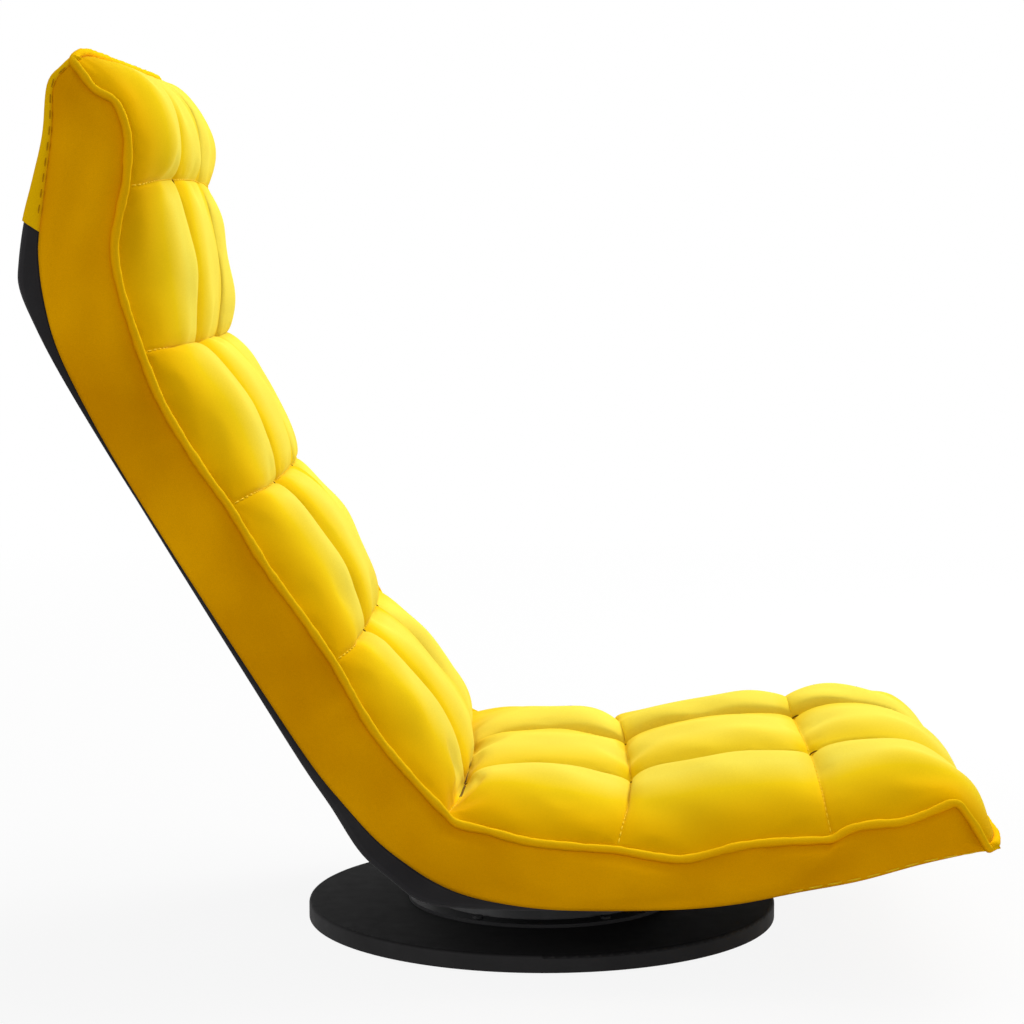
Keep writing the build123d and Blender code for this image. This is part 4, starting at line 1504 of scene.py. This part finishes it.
@dataclass
class Piping:
    """The covered cord sewn all round the cover, along both sides and across the head and the front, in mm.

    Its velvet is painted paler on the side that faces up and forward and deeper underneath: painted highlight
    above, painted shade below.
    """

    quilt: QuiltCover
    line: float = 254.6
    radius: float = 3.6
    sides: int = 12
    pitch: float = 2.6
    turn_in: int = 3
    beyond: float = 1.6
    head_lift: float = 1.5
    roundings: int = 3
    uneven: float = 0.22
    uneven_waves: Pair = (9.0, 40.0)
    # Painted light on the cord: its level where the cord faces sideways, how far it changes, and the
    # direction of its painted highlight
    painted_light_level: float = 0.62
    painted_light_range: float = 0.5
    painted_light_facing: Place = (0.6, 0.0, 0.8)

    def path(self) -> np.ndarray:
        """Give the cord's closed middle line in mm.

        Returns:
            Its points, at an even pitch.
        """
        base = self.quilt.base
        right = base[:, 0] * (1, 0, 1) - (0, self.line, 0)
        left = right[::-1] * (1, -1, 1)
        inner = slice(self.turn_in, -self.turn_in)
        front = base[-1, inner] + (self.beyond, 0, 0)
        head = base[0, inner][::-1] + (-self.beyond, 0, self.head_lift)
        ring = np.vstack([right, front, left, head, right[:1]])
        travelled = travel(ring)
        even = at_stops(ring, travelled, np.arange(0, travelled[-1], self.pitch))
        for _ in range(self.roundings):
            even = (np.roll(even, 1, 0) + 2 * even + np.roll(even, -1, 0)) / 4
        return even

    def dress(self, finish: Material) -> Piece:
        """Build the piping in place of both CAD piping nodes.

        Args:
            finish: the velvet.

        Returns:
            The piping.
        """
        path = self.path()
        run = np.arange(len(path)) * self.pitch
        radius = self.radius + self.uneven * Ripple(SEED + 40, *self.uneven_waves).at(run, 0 * run)
        points, faces = tube_mesh(path, radius, self.sides)
        piece = make_mesh("piping", points, faces, finish)
        # Painted highlight where the cord faces up and forward, painted shade underneath
        away = unit(points.reshape(len(path), self.sides, 3) - path[:, None])
        painted_light = self.painted_light_level + self.painted_light_range * away @ np.array(self.painted_light_facing)
        set_painted_light(piece, np.clip(painted_light, 0, 1).ravel())
        carry(piece)
        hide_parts("seat_piping", "back_piping")
        return piece


@dataclass
class Shell:
    """The wrap behind and under the chair: a head flap, a black cover and a front flap on one line, in mm."""

    half_width: float = 253.4
    corner: float = 6.0
    corner_share: float = 0.7
    corner_turns: tuple[float, ...] = (0.0, 25.0, 50.0, 72.0, 90.0)
    corner_run: float = 3.0
    rim_lap: float = 2.0
    rim_tuck: float = 1.8
    wall_start: float = 0.15
    cells_across: int = 40
    pitch: float = 4.0
    least_cells: int = 6
    hollow: float = 1.6
    hollow_level: float = 0.8
    hollow_range: float = 0.35
    hollow_waves: Pair = (70.0, 200.0)
    thickness: float = 1.2
    overlap: float = 9.0
    proud: float = 1.3
    front_tuck: float = 1.5
    line: SmoothLine = field(default_factory=lambda: SmoothLine(SHELL_LINE))

    @property
    def head_end(self) -> float:
        """Share of the line at which the head flap ends."""
        return self.line.share_of(HEAD_FLAP_KNOT)

    @property
    def front_start(self) -> float:
        """Share of the line at which the front flap starts."""
        return self.line.share_of(FRONT_FLAP_KNOT)

    def section(self, first: float, last: float, proud: float, seed: int) -> np.ndarray:
        """Give the points of one length of the wrap.

        Args:
            first: share of the line where it starts.
            last: share where it ends.
            proud: how far in mm it stands out from the line.
            seed: number that fixes its unevenness.

        Returns:
            A grid of points, along the wrap and across it from left to right.
        """
        count = max(self.least_cells, round((last - first) * self.line.length / TWO_LINES / self.pitch))
        pairs = self.line.at(np.linspace(first, last, count + 1))
        rim, face = pairs[:, :2], pairs[:, 2:]
        along = unit(np.gradient(face, axis=0))
        outward = np.column_stack([along[:, 1], -along[:, 0]])
        face = face + outward * proud
        to_face = unit(face - rim)
        depth = np.linalg.norm(face - rim, axis=1)[:, None]
        radius = np.minimum(self.corner, self.corner_share * depth)
        tucked = self.front_tuck if first >= self.front_start else 0.0
        wide = self.half_width + proud - self.proud - tucked
        left = [np.column_stack([rim - self.rim_lap * to_face, np.full(len(rim), wide - self.rim_tuck)]),
                np.column_stack([rim + self.wall_start * (face - rim), np.full(len(rim), wide)])]
        for turn in np.radians(self.corner_turns):
            place = face - to_face * radius * (1 - math.sin(turn))
            left.append(np.column_stack([place, wide - radius[:, 0] * (1 - math.cos(turn))]))
        inner = wide - self.corner - self.corner_run
        flat = []
        run = np.arange(count + 1) * self.pitch
        taut = Ripple(seed, *self.hollow_waves)
        for y in np.linspace(inner, -inner, self.cells_across + 1):
            depths = self.hollow_level + self.hollow_range * taut.at(run, y + 0 * run)
            dip = self.hollow * (1 - (y / inner) ** 4) * depths
            flat.append(np.column_stack([face - outward * dip[:, None], np.full(len(rim), y)]))
        right = [np.column_stack([part[:, :2], -part[:, 2]]) for part in left[::-1]]
        grid = np.stack([*left, *flat, *right], axis=1)
        return grid[..., [0, 2, 1]]

    def piece(self, name: str, first: float, last: float, proud: float, finish: Material) -> Piece:
        """Make one length of the wrap as a sheet of cloth.

        Args:
            name: the piece's name.
            first: share of the line where it starts.
            last: share where it ends.
            proud: how far in mm it stands out from the line.
            finish: its cloth.

        Returns:
            The piece, with its thickness.
        """
        grid = self.section(first, last, proud, SEED + len(name))
        made = make_mesh(name, grid, grid_faces(numbered(*grid.shape[:2]), flip=True), finish)
        thicken(made, self.thickness)
        return made

    def dress(self, finishes: Finishes) -> list[Piece]:
        """Build the black cover and both flaps in place of their CAD nodes.

        Args:
            finishes: the chair's finishes.

        Returns:
            The three pieces.
        """
        head, front = self.head_end, self.front_start
        lap = self.overlap * TWO_LINES / self.line.length
        cover = self.piece("black_cover", head - lap, front + lap, 0.0, finishes.cloth)
        carry(cover)
        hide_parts("seat_underside_cover", "back_rear_cover")
        top = carry(self.piece("head_flap_cover", 0.0, head, self.proud, finishes.flap))
        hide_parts("head_flap")
        nose = carry(self.piece("front_flap_cover", front, 1.0, self.proud, finishes.flap))
        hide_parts("front_flap")
        return [cover, top, nose]


@dataclass
class SeamThreads:
    """The visible sewing: pillow seams, tuft ticks darkened as painted shade, a dark thread line in the
    crease as painted shadow, and stitches on the flaps and the boxing, in mm.
    """

    quilt: QuiltCover
    boxing: Boxing
    shell: Shell
    seam_pitch: float = 8.5
    seam_stitch: float = 6.2
    seam_radius: float = 0.6
    seam_lift: float = 0.5
    # Dark bars at the tufts: tuft thread, darkened as painted shade of the pinch
    tick_length: float = 8.0
    tick_radius: float = 0.65
    tick_lift: float = 2.0
    # The dark line in the crease, a painted shadow
    crease_shadow_pitch: float = 4.0
    crease_shadow_overlap: float = 1.7
    crease_shadow_radius: float = 1.1
    hem_pitch: float = 16.0
    hem_stitch: float = 13.0
    hem_radius: float = 0.7
    hem_start: float = 190.0
    edge_lift: float = 0.3
    flap_pitch: float = 12.5
    flap_stitch: float = 8.0
    flap_radius: float = 0.6
    flap_side_lift: float = 0.2
    flap_inset: float = 0.004
    flap_corner: int = 8

    def quilt_seams(self) -> Threads:
        """Give the stitches along the seams between the pillows.

        Returns:
            Their points and faces.
        """
        stitching = Stitching(self.seam_pitch, self.seam_stitch, self.seam_radius)
        for line, away in self.quilt.seam_lines():
            stitching.sew(line, away, self.seam_lift)
        return stitching.threads()

    def tuft_ticks(self) -> Threads:
        """Give the short dark bar at each crossing of two seams: a tuft thread, darkened as painted shade of
        the pinch.

        Returns:
            Their points and faces.
        """
        places, up = self.quilt.tufts()
        along = np.cross(up, CROSSWISE)
        return dashes(places + up * self.tick_lift, along, up, self.tick_length, self.tick_radius)

    def crease_shadow_threads(self) -> Threads:
        """Give the dark line down in the crease between back and seat, a painted shadow laid as thread.

        Returns:
            Their points and faces.
        """
        stitching = Stitching(self.crease_shadow_pitch, self.crease_shadow_overlap * self.crease_shadow_pitch, self.crease_shadow_radius)
        for line, away in self.quilt.crease_shadow_lines():
            stitching.sew(line, away, self.seam_lift)
        return stitching.threads()

    def hems(self) -> Threads:
        """Give the long stitches along the lower front edge of both sides' boxing.

        Returns:
            Their points and faces.
        """
        stitching = Stitching(self.hem_pitch, self.hem_stitch, self.hem_radius)
        for side in Side:
            line = self.boxing.points(side)[:, -2]
            stitching.sew(line[line[:, 0] > self.hem_start], side.outward, self.edge_lift)
        return stitching.threads()

    def flap_edges(self) -> Threads:
        """Give the long stitches along the edges of the head flap and the front flap.

        Returns:
            Their points and faces.
        """
        shell = self.shell
        stitching = Stitching(self.flap_pitch, self.flap_stitch, self.flap_radius)
        head = (self.flap_inset, shell.head_end, -2)
        front = (shell.front_start, 1 - self.flap_inset, 1)
        for first, last, end in (head, front):
            grid = shell.section(first, last, shell.proud, SEED)
            for column, side in ((1, Side.LEFT), (-2, Side.RIGHT)):
                stitching.sew(grid[:, column], side.outward, self.flap_side_lift)
            step = grid[end, self.flap_corner + 1] - grid[end - 1, self.flap_corner + 1]
            away = unit(np.cross(step, CROSSWISE))
            stitching.sew(grid[end, self.flap_corner:-self.flap_corner], away, self.edge_lift)
        return stitching.threads()

    def dress(self, finishes: Finishes) -> list[Piece]:
        """Build the threads.

        Args:
            finishes: the chair's finishes.

        Returns:
            The thread pieces.
        """
        made = []
        for name, (points, faces), finish in (
            ("quilt_seam_stitches", self.quilt_seams(), finishes.thread),
            # Tuft thread darkened as painted shade
            ("tuft_ticks", self.tuft_ticks(), finishes.dark_shade_thread),
            # A dark line in the crease, painted shadow
            ("crease_painted_shadow", self.crease_shadow_threads(), finishes.dark_shade_thread),
            ("flap_stitches", self.flap_edges(), finishes.flap_thread),
            ("hem_stitches", self.hems(), finishes.thread),
        ):
            made.append(carry(make_mesh(name, points, faces, finish)))
        return made


@dataclass
class HiddenFrame:
    """The CAD nodes that stay as they are: the base, the swivel and the folding steel frame."""

    def dress(self, finishes: Finishes) -> None:
        """Give each kept CAD node its finish.

        Args:
            finishes: the chair's finishes.
        """
        kept = {
            finishes.board: ("base_disc",),
            finishes.rubber: ("floor_pad",),
            finishes.webbing: ("seat_webbing", "back_webbing"),
            finishes.black_steel: (
                "swivel_pedestal", "pedestal_screws", "swivel_lower_plate", "lower_plate_screws",
                "swivel_upper_plate", "mount_bolts", "seat_frame", "back_frame", "seat_cross_tubes",
                "back_cross_tubes", "left_hinge_bracket", "right_hinge_bracket", "left_ratchet_arm",
                "right_ratchet_arm"),
            finishes.zinc: (
                "king_bolt", "king_nut", "swivel_ball_cage", "swivel_balls", "weld_nuts",
                "hinge_pivot_rivets", "pawl_pins", "seat_tube_rivets", "pawl_springs", "back_tube_rivets",
                "left_pawl", "right_pawl"),
        }
        for finish, nodes in kept.items():
            for name in nodes:
                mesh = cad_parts[name].data
                mesh.materials.clear()
                mesh.materials.append(finish)
            LOG.info("%s: %d CAD nodes", finish.name, len(nodes))


@dataclass(frozen=True)
class Lamp:
    """A soft square lamp: its place, target and side in metres, and its power in watts."""

    name: str
    place: Place
    target: Place
    size: float
    power: float

    def hang(self) -> None:
        """Hang the lamp in the scene."""
        data = bpy.data.lights.new(self.name, "AREA")
        data.size, data.energy = self.size, self.power
        lamp = bpy.data.objects.new(self.name, data)
        lamp.location = self.place
        lamp.rotation_euler = (Vector(self.target) - Vector(self.place)).to_track_quat("-Z", "Y").to_euler()
        bpy.context.scene.collection.objects.link(lamp)


@dataclass(frozen=True)
class Studio:
    """The photographer's room: a pale floor, soft lamps and the camera at the photograph's view.

    Places are in metres and angles in degrees.
    """

    eye: Place = (-0.00006, -2.46159, 0.62375)
    pitch: float = 5.974
    yaw: float = 0.623
    lens: float = 97.4
    film: float = 36.0
    floor_reach: float = 14.0
    floor_drop: float = 0.0004
    floor_grey: Colour = (0.62, 0.62, 0.62)
    floor_roughness: float = 0.95
    paling_from: float = 0.5
    paling_to: float = 3.0
    least_white: float = 0.90
    room_strength: float = 0.35
    lamps: tuple[Lamp, ...] = (
        Lamp("key_lamp", (1.4, 2.0, 2.1), (-0.05, 0.0, 0.35), 1.5, 98.0),
        Lamp("top_lamp", (0.25, 0.3, 2.8), (0.1, 0.0, 0.2), 1.4, 22.0),
        Lamp("fill_lamp", (0.5, -3.0, 1.2), (-0.05, 0.0, 0.35), 1.6, 8.0),
        Lamp("rear_lamp", (-2.6, -1.3, 1.3), (-0.2, 0.0, 0.40), 1.5, 12.0),
    )

    def camera(self) -> None:
        """Set up the camera."""
        data = bpy.data.cameras.new("photo_camera")
        data.lens, data.sensor_width = self.lens, self.film
        camera = bpy.data.objects.new("photo_camera", data)
        camera.location = self.eye
        camera.rotation_euler = (math.radians(90 - self.pitch), 0.0, math.radians(self.yaw))
        bpy.context.scene.collection.objects.link(camera)
        bpy.context.scene.camera = camera

    def seen_directly(self, tree: bpy.types.NodeTree) -> Socket:
        """Add nodes that tell rays from the eye, a mirror or glass from the light that falls on the chair.

        Args:
            tree: the floor's or the world's nodes.

        Returns:
            1 for such rays, and 0 for the rest.
        """
        path = tree.nodes.new("ShaderNodeLightPath")
        total = path.outputs["Is Camera Ray"]
        for name in ("Is Glossy Ray", "Is Transmission Ray"):
            add = tree.nodes.new("ShaderNodeMath")
            add.operation, add.use_clamp = "ADD", True
            tree.links.new(total, add.inputs[0])
            tree.links.new(path.outputs[name], add.inputs[1])
            total = add.outputs[0]
        return total

    def mixed(self, tree: bpy.types.NodeTree, share: Socket, first: Socket, second: Socket) -> Socket:
        """Mix two shaders.

        Args:
            tree: the nodes that they are in.
            share: how much of the second shows.
            first: the shader that falls on the chair.
            second: the shader that is seen.

        Returns:
            The mixed shader.
        """
        mix = tree.nodes.new("ShaderNodeMixShader")
        for source, target in zip((share, first, second), mix.inputs):
            tree.links.new(source, target)
        return mix.outputs["Shader"]

    def floor(self) -> None:
        """Lay the pale floor, which is white far out and keeps the chair's shadow."""
        paper = bpy.data.materials.new("pale_floor")
        paper.use_nodes = True
        tree = paper.node_tree
        nodes, links = tree.nodes, tree.links
        shader = nodes["Principled BSDF"]
        shader.inputs["Base Color"].default_value = (*self.floor_grey, 1.0)
        shader.inputs["Roughness"].default_value = self.floor_roughness
        shader.inputs["Specular IOR Level"].default_value = 0.0
        white = nodes.new("ShaderNodeEmission")
        away = nodes.new("ShaderNodeVectorMath")
        away.operation = "LENGTH"
        links.new(nodes.new("ShaderNodeTexCoord").outputs["Object"], away.inputs[0])
        paling = nodes.new("ShaderNodeMapRange")
        paling.inputs["From Min"].default_value = self.paling_from
        paling.inputs["From Max"].default_value = self.paling_to
        paling.inputs["To Min"].default_value = self.least_white
        links.new(away.outputs["Value"], paling.inputs["Value"])
        share = nodes.new("ShaderNodeMath")
        share.operation = "MULTIPLY"
        links.new(self.seen_directly(tree), share.inputs[0])
        links.new(paling.outputs["Result"], share.inputs[1])
        mixed = self.mixed(tree, share.outputs[0], shader.outputs["BSDF"], white.outputs["Emission"])
        links.new(mixed, nodes["Material Output"].inputs["Surface"])
        reach, height = self.floor_reach / MM, -self.floor_drop / MM
        corners = [(x * reach, y * reach, height) for x, y in ((-1, -1), (1, -1), (1, 1), (-1, 1))]
        make_mesh("floor", np.array(corners), [[0, 1, 2, 3]], paper)

    def light(self) -> None:
        """Hang the lamps and light the room."""
        for lamp in self.lamps:
            lamp.hang()
        world = bpy.data.worlds.new("studio")
        bpy.context.scene.world = world
        world.use_nodes = True
        tree = world.node_tree
        room, seen = tree.nodes["Background"], tree.nodes.new("ShaderNodeBackground")
        for backdrop, strength in ((room, self.room_strength), (seen, 1.0)):
            backdrop.inputs["Color"].default_value = (*WHITE, 1.0)
            backdrop.inputs["Strength"].default_value = strength
        share = self.seen_directly(tree)
        mixed = self.mixed(tree, share, room.outputs["Background"], seen.outputs["Background"])
        tree.links.new(mixed, tree.nodes["World Output"].inputs["Surface"])

    def build(self) -> None:
        """Set up the whole room."""
        bpy.context.scene.view_settings.view_transform = "Standard"
        self.camera()
        self.floor()
        self.light()


def main() -> None:
    """Dress the chair, piece by piece."""
    logging.basicConfig(level=logging.INFO, format="%(name)s: %(message)s", force=True)
    Studio().build()
    finishes = Finishes()
    HiddenFrame().dress(finishes)
    quilt = QuiltCover()
    quilt.dress(finishes.quilt)
    boxing = Boxing(quilt)
    for side in Side:
        boxing.dress(side, finishes.boxing)
    Piping(quilt).dress(finishes.piping)
    shell = Shell()
    shell.dress(finishes)
    SeamThreads(quilt, boxing, shell).dress(finishes)


if __name__ == "__main__":
    main()
